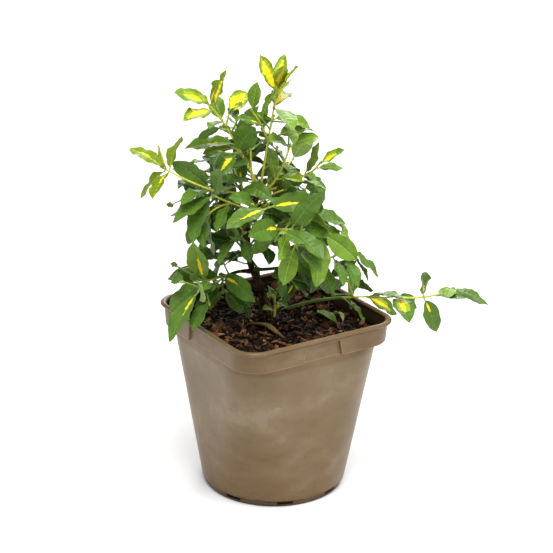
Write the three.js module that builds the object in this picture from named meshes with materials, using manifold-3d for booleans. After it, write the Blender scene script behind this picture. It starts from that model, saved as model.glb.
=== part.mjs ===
// Wintercreeper: a young variegated evergreen shrub in its nursery pot.
// Millimetres, +Z up. The origin is the middle of the pot's flat underside.
// +X runs to the right and -Y towards the viewer when the plant is seen from its front.

import * as THREE from 'three';
import { mergeVertices } from 'three/addons/utils/BufferGeometryUtils.js';
import Module from 'manifold-3d';

const wasm = await Module();
wasm.setup();

// Driving sizes of the pot
const POT_YAW = 32.8;          // degrees that the square rim is turned from +X
const RIM_HALF = 85;           // middle to the outside of the lip
const RIM_TOP = 175.5;
const LIP = 4.4;               // thickness of the rounded lip
const WALL = 1.6;
const FOOT_RADIUS = 66.6;      // the round foot
const FOOT_HEIGHT = 6;
const BASE_RADIUS = 68.6;      // the wall just above the foot
const BASE_CORNER = 68;        // corner radius of the wall at its base, nearly the whole circle
const WALL_CORNER = 34;        // and under the lip
const BAND_CORNER = 26;        // corner radius of the stiffening band
const RIM_CORNER = 20.5;       // and of the lip
const WALL_TOP_HALF = 81.3;    // middle to the flat of the wall, just under the lip
const WALL_TOP = 171;
const FLOOR = 2.4;
const BAND_LOW = 153.5;        // the stiffening band that stands away from each corner
const BAND_HIGH = 172.5;       // its top is inside the lip
const BAND_PROUD = 2.9;
const BAND_THICK = 3.6;
const NOTCH_TOP_HALF = 17.5;   // the band stops here on each side of a face's middle
const NOTCH_LOW_HALF = 21;
const NOTCH_HIGH = 168.8;
const SLOTS = 8;               // drain slots round the foot
const SLOT_WIDTH = 15;
const POT_STEPS = 10;          // facets in a quarter of the pot

// Driving sizes of the growing medium
const SOIL_EDGE = 156.5;       // level at the wall
const SOIL_MOUND = 160;        // level round the foot of the stems
const MOUND_AT = [-4, 23];
const MOUND_RADIUS = 17;
const HEAP = 12.5;             // how much higher it is heaped against the back of the pot
const HEAP_FROM = 36;
const HEAP_TO = 98;
const HEAP_SLANT = 0.35;
const CLEAR = 0.3;             // gap between pieces that touch on the real plant

// Driving sizes of the wood: where each limb stands, bends and ends, and its two radii.
// Those with a foot are cut flat where they meet the ground.
const FLARE = 0.55;            // how much wider the trunk is where it meets the ground
const FLARE_HEIGHT = 7;
const OVERRUN = 2;             // how far a limb runs on past the cut at its start
const KNOB_RADIUS = 3.6;       // the cut and swollen end of the leader
const LIMBS = {
  trunk: { foot: [-4.5, 21.5, 157], via: [-13, 17, 187], to: [-23, 14, 211], radii: [4.3, 3.1] },
  leader: { on: 'trunk', at: 1, via: [-26, 8, 252], to: [-15, 5, 292], radii: [2.8, 2.1] },
  left_bough: { on: 'trunk', at: 0.93, via: [-35, 9, 209], to: [-44, 6, 207], radii: [1.8, 1.3] },
  right_bough: { on: 'trunk', at: 0.96, via: [-5, 7, 213], to: [9, 0, 218], radii: [1.8, 1.3] },
  second_stem: { foot: [-12.5, 25, 157], via: [-14.5, 27.5, 182], to: [-17, 30, 206], radii: [2.1, 1.5] },
  runner_limb: { foot: [2, 33, 158], via: [34, 27, 172], to: [64, 18, 180], radii: [1.7, 1.4] },
};

// Driving sizes of the leaves and twigs
const TWIG_RADII = [1.4, 1.0];
const STALK_RADII = [0.45, 0.7];  // leaf stalk, inside its twig and at its blade
const LEAF_THICK = 1.0;        // at the midrib
const LEAF_STEPS = 8;          // steps that a midrib bends in
const LEAF_STATIONS = [0.27, 0.54, 0.81];
const ROLL_JITTER = 24;        // degrees a leaf may stray round its twig
const OPEN_JITTER = 16;        // degrees its angle to the twig may stray
const TWIST_JITTER = 32;       // degrees its blade may be twisted
const HABITS = {               // opening angle and droop, at a twig's start and end
  rosette: { open: [52, 26], droop: [0.15, 0.1] },
  spray: { open: [66, 52], droop: [0.45, 0.4] },
  hanging: { open: [38, 38], droop: [0.85, 0.85] },
  loose: { open: [84, 64], droop: [0.85, 0.5] },
};
const LEAF_GAP = 2.3;          // least distance between blades of two masses
const MATE_GAP = 1.2;          // and between blades of one mass
const TWIG_GAP = 2.7;          // from a blade to the middle of another mass's twig
const OWN_GAP = 1.6;           // and of a twig of its own mass
const LIMB_GAP = 2.0;          // from a blade to the skin of a limb
const NEAR = 60;               // blades whose middles are further apart than this can't touch
const CLOUD_ROWS = 13;         // rows and columns of the points that stand for a blade
const CLOUD_COLUMNS = [-0.95, -0.65, -0.32, 0, 0.32, 0.65, 0.95];
const RIPPLE = 9.42;           // radians that a margin ripples through from base to tip
const FACED_FROM = [-8, 10];   // leaves face outwards from the upright line through here
const SMOOTHING = 0.03;        // slivers of fused twigs and leaves flatter than this are cleaned off

// Every twig: its mass, what it springs from and how far along, where it ends and how much it
// arches; then how far along it its first pair of leaves sits, the leaf lengths from first to
// last, the turn of the first pair about the twig, a seed for each pair, and the leaves lost.
const TWIGS = [
  { name: 'uright', mass: 'upper_right_shoot', on: 'leader', at: 0.9, to: [12, 2, 335], arch: -9,
    first: 0.45, leaf: [34, 36], habit: 'spray', front: true, turn: 130, seeds: [8324, 16930] },
  { name: 'top', mass: 'top_shoot', on: 'leader', at: 1, to: [-3, 2, 372], arch: 2,
    first: 0.84, leaf: [40, 44], habit: 'loose', front: true, turn: 0, seeds: [19692, 7722] },
  { name: 'top_tip', mass: 'top_shoot', on: 'top', at: 1, to: [0, 0, 390], arch: 0,
    first: 0.5, leaf: [36, 35], habit: 'rosette', front: true, turn: 90, seeds: [18560, 7718, 3399] },
  { name: 'tl', mass: 'top_left_shoot', on: 'leader', at: 1, to: [-50, -4, 361], arch: 2,
    first: 0.62, leaf: [40, 36], habit: 'spray', front: true, turn: 170, seeds: [11345, 16368] },
  { name: 'tl_in', mass: 'top_left_shoot', on: 'tl', at: 0.9, to: [-44, 0, 366], arch: 0,
    first: 0.9, leaf: [36, 30], habit: 'spray', front: true, turn: 90, seeds: [9889] },
  { name: 'tl_back', mass: 'top_left_shoot', on: 'tl', at: 0.4, to: [-38, 10, 330], arch: 0,
    first: 0.9, leaf: [34, 30], habit: 'spray', turn: 80, seeds: [14085] },
  { name: 'tl_tip', mass: 'top_left_shoot', on: 'tl', at: 1, to: [-63, -6, 378], arch: 0,
    first: 0.6, leaf: [34, 31], habit: 'rosette', front: true, turn: 30,
    seeds: [12440, 8023, 8846], lost: [5] },
  { name: 'left', mass: 'left_shoot', on: 'leader', at: 0.93, to: [-61, -20, 300], arch: 0,
    first: 0.36, leaf: [42, 44], habit: 'loose', front: true, turn: 110, seeds: [15457, 11348] },
  { name: 'left_in', mass: 'left_shoot', on: 'left', at: 0.72, to: [-60, -13, 297], arch: 0,
    first: 0.9, leaf: [36, 34], habit: 'loose', front: true, turn: 90, seeds: [12120] },
  { name: 'left_tip', mass: 'left_shoot', on: 'left', at: 1, to: [-103, -20, 320], arch: -1,
    first: 0.88, leaf: [40, 38], habit: 'spray', front: true, turn: 70,
    seeds: [20084, 19235, 3613], lost: [4] },
  { name: 'right', mass: 'right_shoot', on: 'leader', at: 1, to: [27, 24, 301], arch: -4,
    first: 0.3, leaf: [34, 34], habit: 'spray', turn: 30, seeds: [17367, 4871, 8948] },
  { name: 'right_tip', mass: 'right_shoot', on: 'right', at: 1, to: [40, 18, 314], arch: -2,
    first: 0.75, leaf: [27, 26], habit: 'rosette', front: true, turn: 70, seeds: [12782, 19764] },
  { name: 'fright', mass: 'front_right_shoot', on: 'leader', at: 0.47, to: [14, -56, 275], arch: 1,
    first: 0.75, leaf: [45, 46], habit: 'spray', turn: 90, seeds: [15579, 19930] },
  { name: 'fright_low', mass: 'front_right_shoot', on: 'fright', at: 0.74, to: [18, -56, 260], arch: 3,
    first: 0.5, leaf: [38, 40], habit: 'hanging', turn: 80, seeds: [21738, 7218] },
  { name: 'fleft', mass: 'front_left_shoot', on: 'leader', at: 0.67, to: [-7, -46, 292], arch: 0,
    first: 0.55, leaf: [43, 46], habit: 'spray', turn: 30, seeds: [12270, 4869] },
  { name: 'rmid', mass: 'right_mid_shoot', on: 'leader', at: 0.44, to: [26, -6, 269], arch: -2,
    first: 0.5, leaf: [38, 38], habit: 'spray', turn: 130, seeds: [15066, 11476] },
  { name: 'rmid_tip', mass: 'right_mid_shoot', on: 'rmid', at: 1, to: [43, -22, 258], arch: 3,
    first: 0.4, leaf: [40, 42], habit: 'spray', turn: 40, seeds: [2953, 20295] },
  { name: 'lmid', mass: 'left_mid_shoot', on: 'leader', at: 0.74, to: [-56, -32, 298], arch: -1,
    first: 0.6, leaf: [42, 42], habit: 'spray', turn: 50, seeds: [1969, 1051] },
  { name: 'lmid_low', mass: 'left_mid_shoot', on: 'lmid', at: 0.54, to: [-67, -30, 275], arch: 3,
    first: 0.9, leaf: [32, 30], habit: 'hanging', front: true, turn: 100, seeds: [7071] },
  { name: 'lcen', mass: 'left_centre_shoot', on: 'leader', at: 0.33, to: [-37, -24, 255], arch: 1,
    first: 0.3, leaf: [34, 36], habit: 'spray', turn: 60, seeds: [1969, 17053] },
  { name: 'llow', mass: 'left_low_shoot', on: 'left_bough', at: 1, to: [-66, -24, 211], arch: 0,
    first: 0.35, leaf: [42, 38], habit: 'spray', front: true, turn: 70, seeds: [1243, 4565] },
  { name: 'llow_rim', mass: 'left_low_shoot', on: 'llow', at: 0.83, to: [-70, -46, 211], arch: 2,
    first: 0.95, leaf: [52, 50], habit: 'hanging', turn: 130, seeds: [14080] },
  { name: 'llow_in', mass: 'left_low_shoot', on: 'llow', at: 0.3, to: [-49, -12, 198], arch: 1,
    first: 0.95, leaf: [28, 26], habit: 'hanging', turn: 150, seeds: [17878] },
  { name: 'lright', mass: 'lower_right_shoot', on: 'right_bough', at: 1, to: [54, -14, 234], arch: -1,
    first: 0.3, leaf: [34, 36], habit: 'spray', turn: 90, seeds: [6703, 9974, 14635], lost: [4] },
  { name: 'lright_tip', mass: 'lower_right_shoot', on: 'lright', at: 1, to: [71, -18, 242], arch: 1,
    first: 0.5, leaf: [36, 40], habit: 'spray', turn: 140, seeds: [11350, 17636], lost: [3] },
  { name: 'lright_in', mass: 'lower_right_shoot', on: 'lright', at: 0.09, to: [8, -20, 217], arch: 2,
    first: 0.9, leaf: [24, 22], habit: 'hanging', turn: 20, seeds: [8486] },
  { name: 'run', mass: 'runner_shoot', on: 'runner_limb', at: 1, to: [87, 20, 181], arch: 0,
    first: 0.3, leaf: [36, 38], habit: 'spray', front: true, turn: 130, seeds: [4579, 672] },
  { name: 'run_mid', mass: 'runner_shoot', on: 'run', at: 1, to: [115, 14, 183.5], arch: -1,
    first: 0.9, leaf: [37, 37], habit: 'spray', front: true, turn: 80, seeds: [1760] },
  { name: 'run_tip', mass: 'runner_shoot', on: 'run_mid', at: 1, to: [160, 8, 190.5], arch: -3,
    first: 0.58, leaf: [38, 42], habit: 'spray', front: true, turn: 0,
    seeds: [17361, 88, 19897], lost: [5] },
  { name: 'run_base', mass: 'runner_shoot', on: 'run', at: 0.5, to: [68, 10, 202], arch: 0,
    first: 0.95, leaf: [26, 24], habit: 'spray', turn: 60, seeds: [4484] },
  { name: 'run_end', mass: 'runner_shoot', on: 'run_tip', at: 0.98, to: [167, 2, 197.5], arch: 1,
    first: 0.9, leaf: [36, 30], habit: 'spray', front: true, turn: 60, seeds: [9653] },
  { name: 'basal', mass: 'basal_shoot', foot: [-0.5, 10, 160.6], to: [0, 8, 186], arch: -1,
    first: 0.35, leaf: [20, 16], habit: 'spray', turn: 50, seeds: [3440, 12346, 9233] },
  { name: 'tl_low', mass: 'top_left_shoot', on: 'tl', at: 0.47, to: [-36, -13, 333], arch: 0,
    first: 0.95, leaf: [37, 37], habit: 'loose', front: true, turn: 160, seeds: [13073] },
  { name: 'top_side', mass: 'top_shoot', on: 'top', at: 0.56, to: [-23, -12, 373], arch: 2,
    first: 0.9, leaf: [32, 30], habit: 'rosette', front: true, turn: 0, seeds: [7218] },
  { name: 'lowc', mass: 'low_centre_shoot', on: 'leader', at: 0.3, to: [-9, -9, 242], arch: 0,
    first: 0.9, leaf: [26, 24], habit: 'hanging', front: true, turn: 130, seeds: [2318] },
  { name: 'intop', mass: 'inner_top_shoot', on: 'leader', at: 0.9, to: [-24, -9, 334], arch: -10,
    first: 0.5, leaf: [34, 32], habit: 'spray', turn: 30, seeds: [19930, 10415] },
  { name: 'inl', mass: 'inner_left_shoot', on: 'leader', at: 0.8, to: [-40, 4, 314], arch: -3,
    first: 0.5, leaf: [36, 34], habit: 'spray', turn: 60, seeds: [4210, 8153] },
  { name: 'inl_low', mass: 'inner_left_shoot', on: 'inl', at: 0.38, to: [-56, 2, 284], arch: -3,
    first: 0.4, leaf: [34, 34], habit: 'spray', turn: 0, seeds: [19369, 12260] },
  { name: 'inr', mass: 'inner_right_shoot', on: 'leader', at: 0.7, to: [17, 18, 286], arch: 1,
    first: 0.5, leaf: [36, 34], habit: 'spray', turn: 40, seeds: [9349, 9536] },
  { name: 'inr_low', mass: 'inner_right_shoot', on: 'inr', at: 0.33, to: [21, 20, 265], arch: -3,
    first: 0.4, leaf: [34, 34], habit: 'spray', turn: 0, seeds: [2654, 19564] },
  { name: 'inlow', mass: 'inner_low_shoot', on: 'leader', at: 0.33, to: [-47, 24, 243], arch: 3,
    first: 0.4, leaf: [34, 34], habit: 'spray', turn: 0, seeds: [17213, 9828] },
  { name: 'inlow_side', mass: 'inner_low_shoot', on: 'inlow', at: 0.41, to: [-49, 8, 225], arch: -3,
    first: 0.9, leaf: [30, 30], habit: 'hanging', turn: 0, seeds: [6817] },
  { name: 'btop', mass: 'back_top_shoot', on: 'leader', at: 0.92, to: [-31, 54, 333], arch: -4,
    first: 0.3, leaf: [40, 32], habit: 'spray', turn: 110, seeds: [16008, 21872, 12302, 7005] },
  { name: 'bright', mass: 'back_right_shoot', on: 'leader', at: 0.84, to: [15, 76, 299], arch: 1,
    first: 0.3, leaf: [42, 36], habit: 'spray', turn: 110, seeds: [4682, 6944, 9197, 13602] },
  { name: 'bright_side', mass: 'back_right_shoot', on: 'bright', at: 0.36, to: [26, 40, 281], arch: 6,
    first: 0.5, leaf: [38, 36], habit: 'spray', turn: 60, seeds: [19940, 21783] },
  { name: 'bleft', mass: 'back_left_shoot', on: 'leader', at: 0.79, to: [-58, 68, 301], arch: 1,
    first: 0.3, leaf: [42, 36], habit: 'spray', turn: 10, seeds: [17186, 8409, 1795, 4737] },
  { name: 'bleft_side', mass: 'back_left_shoot', on: 'bleft', at: 0.39, to: [-68, 30, 293], arch: -4,
    first: 0.5, leaf: [38, 36], habit: 'spray', turn: 0, seeds: [16697, 1949] },
  { name: 'blow', mass: 'back_low_shoot', on: 'leader', at: 0.37, to: [-8, 88, 260], arch: 1,
    first: 0.25, leaf: [42, 38], habit: 'spray', turn: 50, seeds: [9113, 16700, 6900, 4656] },
  { name: 'blowleft', mass: 'back_low_left_shoot', on: 'second_stem', at: 1, to: [-66, 64, 246], arch: 5,
    first: 0.25, leaf: [40, 38], habit: 'spray', turn: 0, seeds: [6920, 18128, 10682, 9898] },
  { name: 'blowright', mass: 'back_low_right_shoot', on: 'leader', at: 0.2, to: [40, 62, 251], arch: 1,
    first: 0.25, leaf: [40, 38], habit: 'spray', turn: 60, seeds: [17427, 2466, 21818, 12324] },
  { name: 'mid', mass: 'middle_shoot', on: 'leader', at: 0.76, to: [7, -16, 299], arch: 2,
    first: 0.5, leaf: [36, 34], habit: 'spray', turn: 140, seeds: [8420, 2014] },
];

// Clusters of flower buds: the twig and the point along it that they spring from, and their place
const BUD_RADIUS = 1.5;
const BUD_SPREAD = 2.4;
const BUDS = 5;
const BUD_STALK_RADIUS = 0.5;
const BUD_CLUSTERS = [
  { on: 'llow', at: 1, to: [-93.5, -30, 229.7] },
  { on: 'llow', at: 0.3, to: [-49.6, -20, 216.6] },
  { on: 'lcen', at: 0.9, to: [-56, -22, 235] },
  { on: 'left', at: 1, to: [-97, -25, 286] },
  { on: 'lright_tip', at: 0.9, to: [71.8, -20, 230.9] },
  { on: 'lright', at: 0.2, to: [22.7, -30, 224.2] },
  { on: 'run', at: 0.1, to: [72.9, 0, 178.5] },
];
const GREEN_LIMBS = ['second_stem', 'runner_limb', 'right_bough'];

const deg = Math.PI / 180;
const UP = new THREE.Vector3(0, 0, 1);
const vec = (list) => new THREE.Vector3(...list);
const mix = (a, b, t) => a + (b - a) * t;

// Solids

function solidOf(geometry) {
  const bare = geometry.clone();
  bare.deleteAttribute('normal');
  bare.deleteAttribute('uv');
  const merged = mergeVertices(bare, 1e-5);
  const mesh = new wasm.Mesh({
    numProp: 3,
    vertProperties: new Float32Array(merged.attributes.position.array),
    triVerts: new Uint32Array(merged.index.array),
  });
  return new wasm.Manifold(mesh);
}

function geometryOf(solid) {
  const mesh = solid.getMesh();
  const geometry = new THREE.BufferGeometry();
  geometry.setAttribute('position', new THREE.BufferAttribute(mesh.vertProperties, 3));
  geometry.setIndex(new THREE.BufferAttribute(mesh.triVerts, 1));
  geometry.computeVertexNormals();
  return geometry;
}

function join(solids) {
  return solids.reduce((whole, next) => whole.add(next));
}

// Moves every vertex of a geometry by a function of its place
function reshape(geometry, move) {
  const place = geometry.attributes.position;
  const point = new THREE.Vector3();
  for (let i = 0; i < place.count; i += 1) {
    point.fromBufferAttribute(place, i);
    move(point);
    place.setXYZ(i, point.x, point.y, point.z);
  }
  return geometry;
}

// The pot

// Corner radius at a level: the wall is a circle at its base and a rounded square at its top,
// and the lip above it has tighter corners of its own
function cornerRadius(level) {
  return level > WALL_TOP ? RIM_CORNER : mix(BASE_CORNER, WALL_CORNER, Math.max(level / WALL_TOP, 0));
}

function wallHalf(level) {
  return mix(BASE_RADIUS, WALL_TOP_HALF, (level - FOOT_HEIGHT) / (WALL_TOP - FOOT_HEIGHT));
}

// A lathe turned about +Z whose rounds are squared off as the pot's wall is.
// The profile holds [half width, level] pairs.
function squaredLathe(profile, cornerAt = cornerRadius) {
  const segments = 4 * POT_STEPS;
  const points = profile.map(([half, level]) => new THREE.Vector2(half, level));
  const lathe = new THREE.LatheGeometry(points, segments, Math.PI / segments);
  return reshape(lathe, (point) => {
    const half = Math.hypot(point.x, point.z);
    const level = point.y;
    const turn = (Math.atan2(point.x, point.z) / deg + 360) % 360;
    const quarter = Math.floor(turn / 90);
    const edge = 45 / POT_STEPS;
    const inside = (turn - quarter * 90 - edge) / (90 - 2 * edge);
    const angle = (quarter + THREE.MathUtils.clamp(inside, 0, 1)) * 90 * deg;
    const centre = Math.max(0, half - cornerAt(level));
    const round = half - centre;
    const diagonal = (quarter * 90 + 45) * deg;
    const reach = half > 1e-9 ? centre * Math.SQRT2 : 0;
    point.set(
      Math.cos(diagonal) * reach + Math.cos(angle) * round,
      Math.sin(diagonal) * reach + Math.sin(angle) * round,
      level,
    );
  });
}

function potSolid() {
  const lipMiddle = RIM_TOP - LIP / 2;
  const shell = solidOf(squaredLathe([
    [0, 0],
    [FOOT_RADIUS - 0.8, 0],
    [FOOT_RADIUS, 0.8],
    [FOOT_RADIUS, FOOT_HEIGHT - 0.4],
    [BASE_RADIUS, FOOT_HEIGHT],
    [WALL_TOP_HALF, WALL_TOP],
    [RIM_HALF - 1.2, WALL_TOP + 0.3],
    [RIM_HALF, lipMiddle - 0.7],
    [RIM_HALF, lipMiddle + 0.9],
    [RIM_HALF - 1.3, RIM_TOP],
    [RIM_HALF - LIP + 0.9, RIM_TOP],
    [RIM_HALF - LIP - 0.2, RIM_TOP - 1.2],
    [WALL_TOP_HALF - WALL, WALL_TOP - 0.6],
    [BASE_RADIUS - WALL, FOOT_HEIGHT + 1],
    [FOOT_RADIUS - WALL, FLOOR],
    [0, FLOOR],
  ]));
  const lowHalf = wallHalf(BAND_LOW) + BAND_PROUD;
  const highHalf = wallHalf(BAND_HIGH) + BAND_PROUD - 0.4;
  const bandProfile = [
    [lowHalf - BAND_THICK, BAND_LOW],
    [lowHalf, BAND_LOW],
    [highHalf, BAND_HIGH],
    [highHalf - BAND_THICK, BAND_HIGH],
    [lowHalf - BAND_THICK, BAND_LOW],
  ];
  let band = solidOf(squaredLathe(bandProfile, () => BAND_CORNER));
  for (let face = 0; face < 4; face += 1) {
    band = band.subtract(notchSolid(face));
  }
  let pot = shell.add(band);
  for (let slot = 0; slot < SLOTS; slot += 1) {
    pot = pot.subtract(slotSolid(slot));
  }
  return pot;
}

// What is cut from the corner band in the middle of one face
function notchSolid(face) {
  const outline = new THREE.Shape([
    new THREE.Vector2(-NOTCH_LOW_HALF, BAND_LOW - 1),
    new THREE.Vector2(NOTCH_LOW_HALF, BAND_LOW - 1),
    new THREE.Vector2(NOTCH_TOP_HALF, NOTCH_HIGH),
    new THREE.Vector2(-NOTCH_TOP_HALF, NOTCH_HIGH),
  ]);
  const cutter = new THREE.ExtrudeGeometry(outline, { depth: 20, bevelEnabled: false });
  cutter.rotateX(90 * deg);
  cutter.translate(0, RIM_HALF + 10, 0);
  cutter.rotateZ(face * 90 * deg);
  return solidOf(cutter);
}

function slotSolid(slot) {
  const cutter = new THREE.BoxGeometry(14, SLOT_WIDTH, FOOT_HEIGHT - FLOOR - 0.2);
  cutter.translate(FOOT_RADIUS, 0, (FOOT_HEIGHT + FLOOR) / 2);
  cutter.rotateZ((slot + 0.5) * (360 / SLOTS) * deg);
  return solidOf(cutter);
}

// The growing medium

// Level of its loose top: a low mound round the stems, dips and humps further out, and a heap behind
function soilLevel(x, y) {
  const away = Math.hypot(x - MOUND_AT[0], y - MOUND_AT[1]);
  const rise = 1 - THREE.MathUtils.smoothstep(away, MOUND_RADIUS, 3.2 * MOUND_RADIUS);
  const humps = Math.sin(x * 0.13 + 1.1) * Math.sin(y * 0.11 + 0.4) + 0.6 * Math.sin((x - y) * 0.23);
  const heap = HEAP * THREE.MathUtils.smoothstep(y - HEAP_SLANT * x, HEAP_FROM, HEAP_TO);
  return mix(SOIL_EDGE + 0.9 * humps, SOIL_MOUND, rise) + heap;
}

function soilSolid() {
  const bottomHalf = FOOT_RADIUS - WALL - CLEAR;
  const lowHalf = BASE_RADIUS - WALL - CLEAR - 0.2;
  const edgeHalf = wallHalf(SOIL_EDGE) - WALL - CLEAR - 0.2;
  const profile = [
    [0, FLOOR + CLEAR],
    [bottomHalf - 1, FLOOR + CLEAR],
    [lowHalf, FOOT_HEIGHT + 2],
    [edgeHalf, SOIL_EDGE],
  ];
  const rings = 6;
  for (let ring = rings - 1; ring >= 0; ring -= 1) {
    profile.push([edgeHalf * (ring / rings), SOIL_EDGE]);
  }
  const lump = squaredLathe(profile);
  const yaw = POT_YAW * deg;
  reshape(lump, (point) => {
    if (point.z > SOIL_EDGE - 1) {
      const x = point.x * Math.cos(yaw) - point.y * Math.sin(yaw);
      const y = point.x * Math.sin(yaw) + point.y * Math.cos(yaw);
      point.z = soilLevel(x, y);
    }
  });
  return solidOf(lump);
}

// Limbs and twigs

// A limb or twig runs on one bend that passes through its start, its middle and its end
function bendOf(start, via, end) {
  const control = via.clone().multiplyScalar(2).addScaledVector(start, -0.5).addScaledVector(end, -0.5);
  return new THREE.QuadraticBezierCurve3(start, control, end);
}

// A tapered rod bent along a curve. radiusAt gives its radius from 0 at the start to 1 at the end.
function rod(curve, radiusAt, sides, steps) {
  const start = curve.getPoint(0);
  const chord = curve.getPoint(1).sub(start);
  const across = Math.abs(chord.z) < 0.9 * chord.length() ? UP : new THREE.Vector3(1, 0, 0);
  const side = new THREE.Vector3().crossVectors(chord, across).normalize();
  const cylinder = new THREE.CylinderGeometry(1, 1, 1, sides, steps);
  return reshape(cylinder, (point) => {
    const t = THREE.MathUtils.clamp(point.y + 0.5, 0, 1);
    const forward = curve.getTangent(t);
    const normal = side.clone().addScaledVector(forward, -side.dot(forward)).normalize();
    const binormal = new THREE.Vector3().crossVectors(forward, normal);
    const radius = radiusAt(t);
    const [x, z] = [point.x * radius, point.z * radius];
    point.copy(curve.getPoint(t)).addScaledVector(normal, z).addScaledVector(binormal, x);
  });
}

// Where a rod springs from the side of a limb: out from its middle line until it is just clear
function springPoint(limb, at, towards, radius, clearance) {
  const middle = limb.curve.getPoint(at);
  const along = limb.curve.getTangent(at);
  const out = towards.clone().sub(middle).normalize();
  const slant = Math.abs(along.dot(out));
  const skin = mix(limb.radii[0], limb.radii[1], at);
  const reach = (skin + clearance + radius * slant) / Math.sqrt(1 - slant * slant);
  return middle.addScaledVector(out, reach);
}

// What carries on from a limb's tip starts a little inside it and is cut just clear of its end
function carryOn(limb) {
  const tip = limb.curve.getPoint(1);
  const normal = limb.curve.getTangent(1);
  const cut = { normal, level: tip.dot(normal) + CLEAR };
  return { start: tip.clone().addScaledVector(normal, -OVERRUN), cut };
}

function trimmed(solid, cut) {
  return cut ? solid.trimByPlane(cut.normal.toArray(), cut.level) : solid;
}

function buildLimbs() {
  const limbs = {};
  for (const [name, row] of Object.entries(LIMBS)) {
    const via = vec(row.via);
    let beginning;
    if (row.foot) {
      beginning = { start: vec(row.foot), cut: { normal: UP, level: SOIL_MOUND + CLEAR } };
    } else if (row.at === 1) {
      beginning = carryOn(limbs[row.on]);
    } else {
      beginning = { start: springPoint(limbs[row.on], row.at, via, row.radii[0], CLEAR + 0.05) };
    }
    const curve = bendOf(beginning.start, via, vec(row.to));
    limbs[name] = { curve, radii: row.radii, cut: beginning.cut };
  }
  return limbs;
}

function limbSolid(name, limb) {
  const length = limb.curve.getLength();
  const flare = name === 'trunk' || name === 'second_stem' ? FLARE : 0;
  const radiusAt = (t) => mix(limb.radii[0], limb.radii[1], t)
    * (1 + flare * Math.exp(-t * length / FLARE_HEIGHT));
  const wood = trimmed(solidOf(rod(limb.curve, radiusAt, 9, 8)), limb.cut);
  if (name !== 'leader') {
    return wood;
  }
  const knob = new THREE.SphereGeometry(KNOB_RADIUS, 10, 7);
  knob.translate(...limb.curve.getPoint(1).toArray());
  return wood.add(solidOf(knob));
}

// Leaves

// A repeatable row of draws between 0 and 1
function drawsFrom(seed) {
  let state = seed;
  return (low = 0, high = 1) => {
    state = (1664525 * state + 1013904223) % 4294967296;
    return low + (high - low) * (state / 4294967296);
  };
}

// How wide a leaf is along its midrib, 1 at its widest
function leafProfile(t) {
  const [base, tip] = [0.85, 1];
  const widest = base / (base + tip);
  return (t ** base * (1 - t) ** tip) / (widest ** base * (1 - widest) ** tip);
}

// One leaf of a pair: where its stalk springs, its midrib step by step, and its blade's measures
function growLeaf(twig, share, at, roll, draw) {
  const root = twig.curve.getPoint(at);
  const forward = twig.curve.getTangent(at);
  const across = Math.abs(forward.z) < 0.8 ? UP : new THREE.Vector3(1, 0, 0);
  const normal = across.clone().addScaledVector(forward, -across.dot(forward)).normalize();
  const binormal = new THREE.Vector3().crossVectors(forward, normal);
  const round = (roll + draw(-ROLL_JITTER, ROLL_JITTER)) * deg;
  const open = (mix(...twig.habit.open, share) + draw(-OPEN_JITTER, OPEN_JITTER)) * deg;
  const length = mix(...twig.leaf, share) * draw(0.86, 1.12);
  const twist = draw(-TWIST_JITTER, TWIST_JITTER) * deg;
  const droop = mix(...twig.habit.droop, share) * draw(0.5, 1.4);
  const width = length * draw(0.22, 0.31);
  const fold = draw(0.12, 0.4);
  const wave = draw(0.01, 0.045) * length;
  const phase = draw(0, 6.2832);
  // The next two draws set the leaf's shade and markings, which don't change its solid
  draw();
  draw();
  const outward = normal.multiplyScalar(Math.cos(round)).addScaledVector(binormal, Math.sin(round));
  const axis = forward.clone().multiplyScalar(Math.cos(open)).addScaledVector(outward, Math.sin(open));
  axis.normalize();
  let lean = new THREE.Vector3(root.x - FACED_FROM[0], root.y - FACED_FROM[1], 0);
  lean.divideScalar(Math.max(1, lean.length()));
  if (twig.front) {
    lean = new THREE.Vector3(0, -1, 0);
  }
  const face = forward.multiplyScalar(Math.sin(open)).addScaledVector(outward, -Math.cos(open));
  face.multiplyScalar(0.6).addScaledVector(UP, 0.9).addScaledVector(lean, 0.6);
  face.addScaledVector(axis, -face.dot(axis)).normalize();
  const turned = face.clone().multiplyScalar(Math.cos(twist));
  turned.addScaledVector(new THREE.Vector3().crossVectors(axis, face), Math.sin(twist));
  const headingAt = (t) => axis.clone().addScaledVector(UP, -droop * t).normalize();
  const midrib = [root.clone().addScaledVector(axis, length * 0.1 + 1)];
  for (let step = 0; step < LEAF_STEPS; step += 1) {
    const heading = headingAt((step + 0.5) / LEAF_STEPS);
    midrib.push(midrib[step].clone().addScaledVector(heading, length / LEAF_STEPS));
  }
  return { root, midrib, headingAt, turned, width, fold, wave, phase };
}

// A point on a leaf's upper face: t along its midrib, u across from -1 to 1
function bladePoint(leaf, t, u, rise = 0) {
  const step = Math.min(Math.floor(t * LEAF_STEPS), LEAF_STEPS - 1);
  const point = leaf.midrib[step].clone().lerp(leaf.midrib[step + 1], t * LEAF_STEPS - step);
  const heading = leaf.headingAt(t);
  const face = leaf.turned.clone().addScaledVector(heading, -leaf.turned.dot(heading)).normalize();
  const side = new THREE.Vector3().crossVectors(heading, face);
  const profile = leafProfile(t);
  const ripple = Math.sin(RIPPLE * t + leaf.phase + (u > 0 ? 0.9 : 0)) * u * u * profile;
  const lift = leaf.width * profile * leaf.fold * Math.abs(u) + leaf.wave * ripple + rise;
  return point.addScaledVector(side, leaf.width * profile * u).addScaledVector(face, lift);
}

// Points that stand for a leaf when its clearance is measured
function leafCloud(leaf) {
  const points = [leaf.root.clone().lerp(leaf.midrib[0], 0.6)];
  for (let row = 0; row < CLOUD_ROWS; row += 1) {
    for (const u of CLOUD_COLUMNS) {
      points.push(bladePoint(leaf, 0.04 + 0.96 * (row / (CLOUD_ROWS - 1)), u));
    }
  }
  return points;
}

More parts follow.
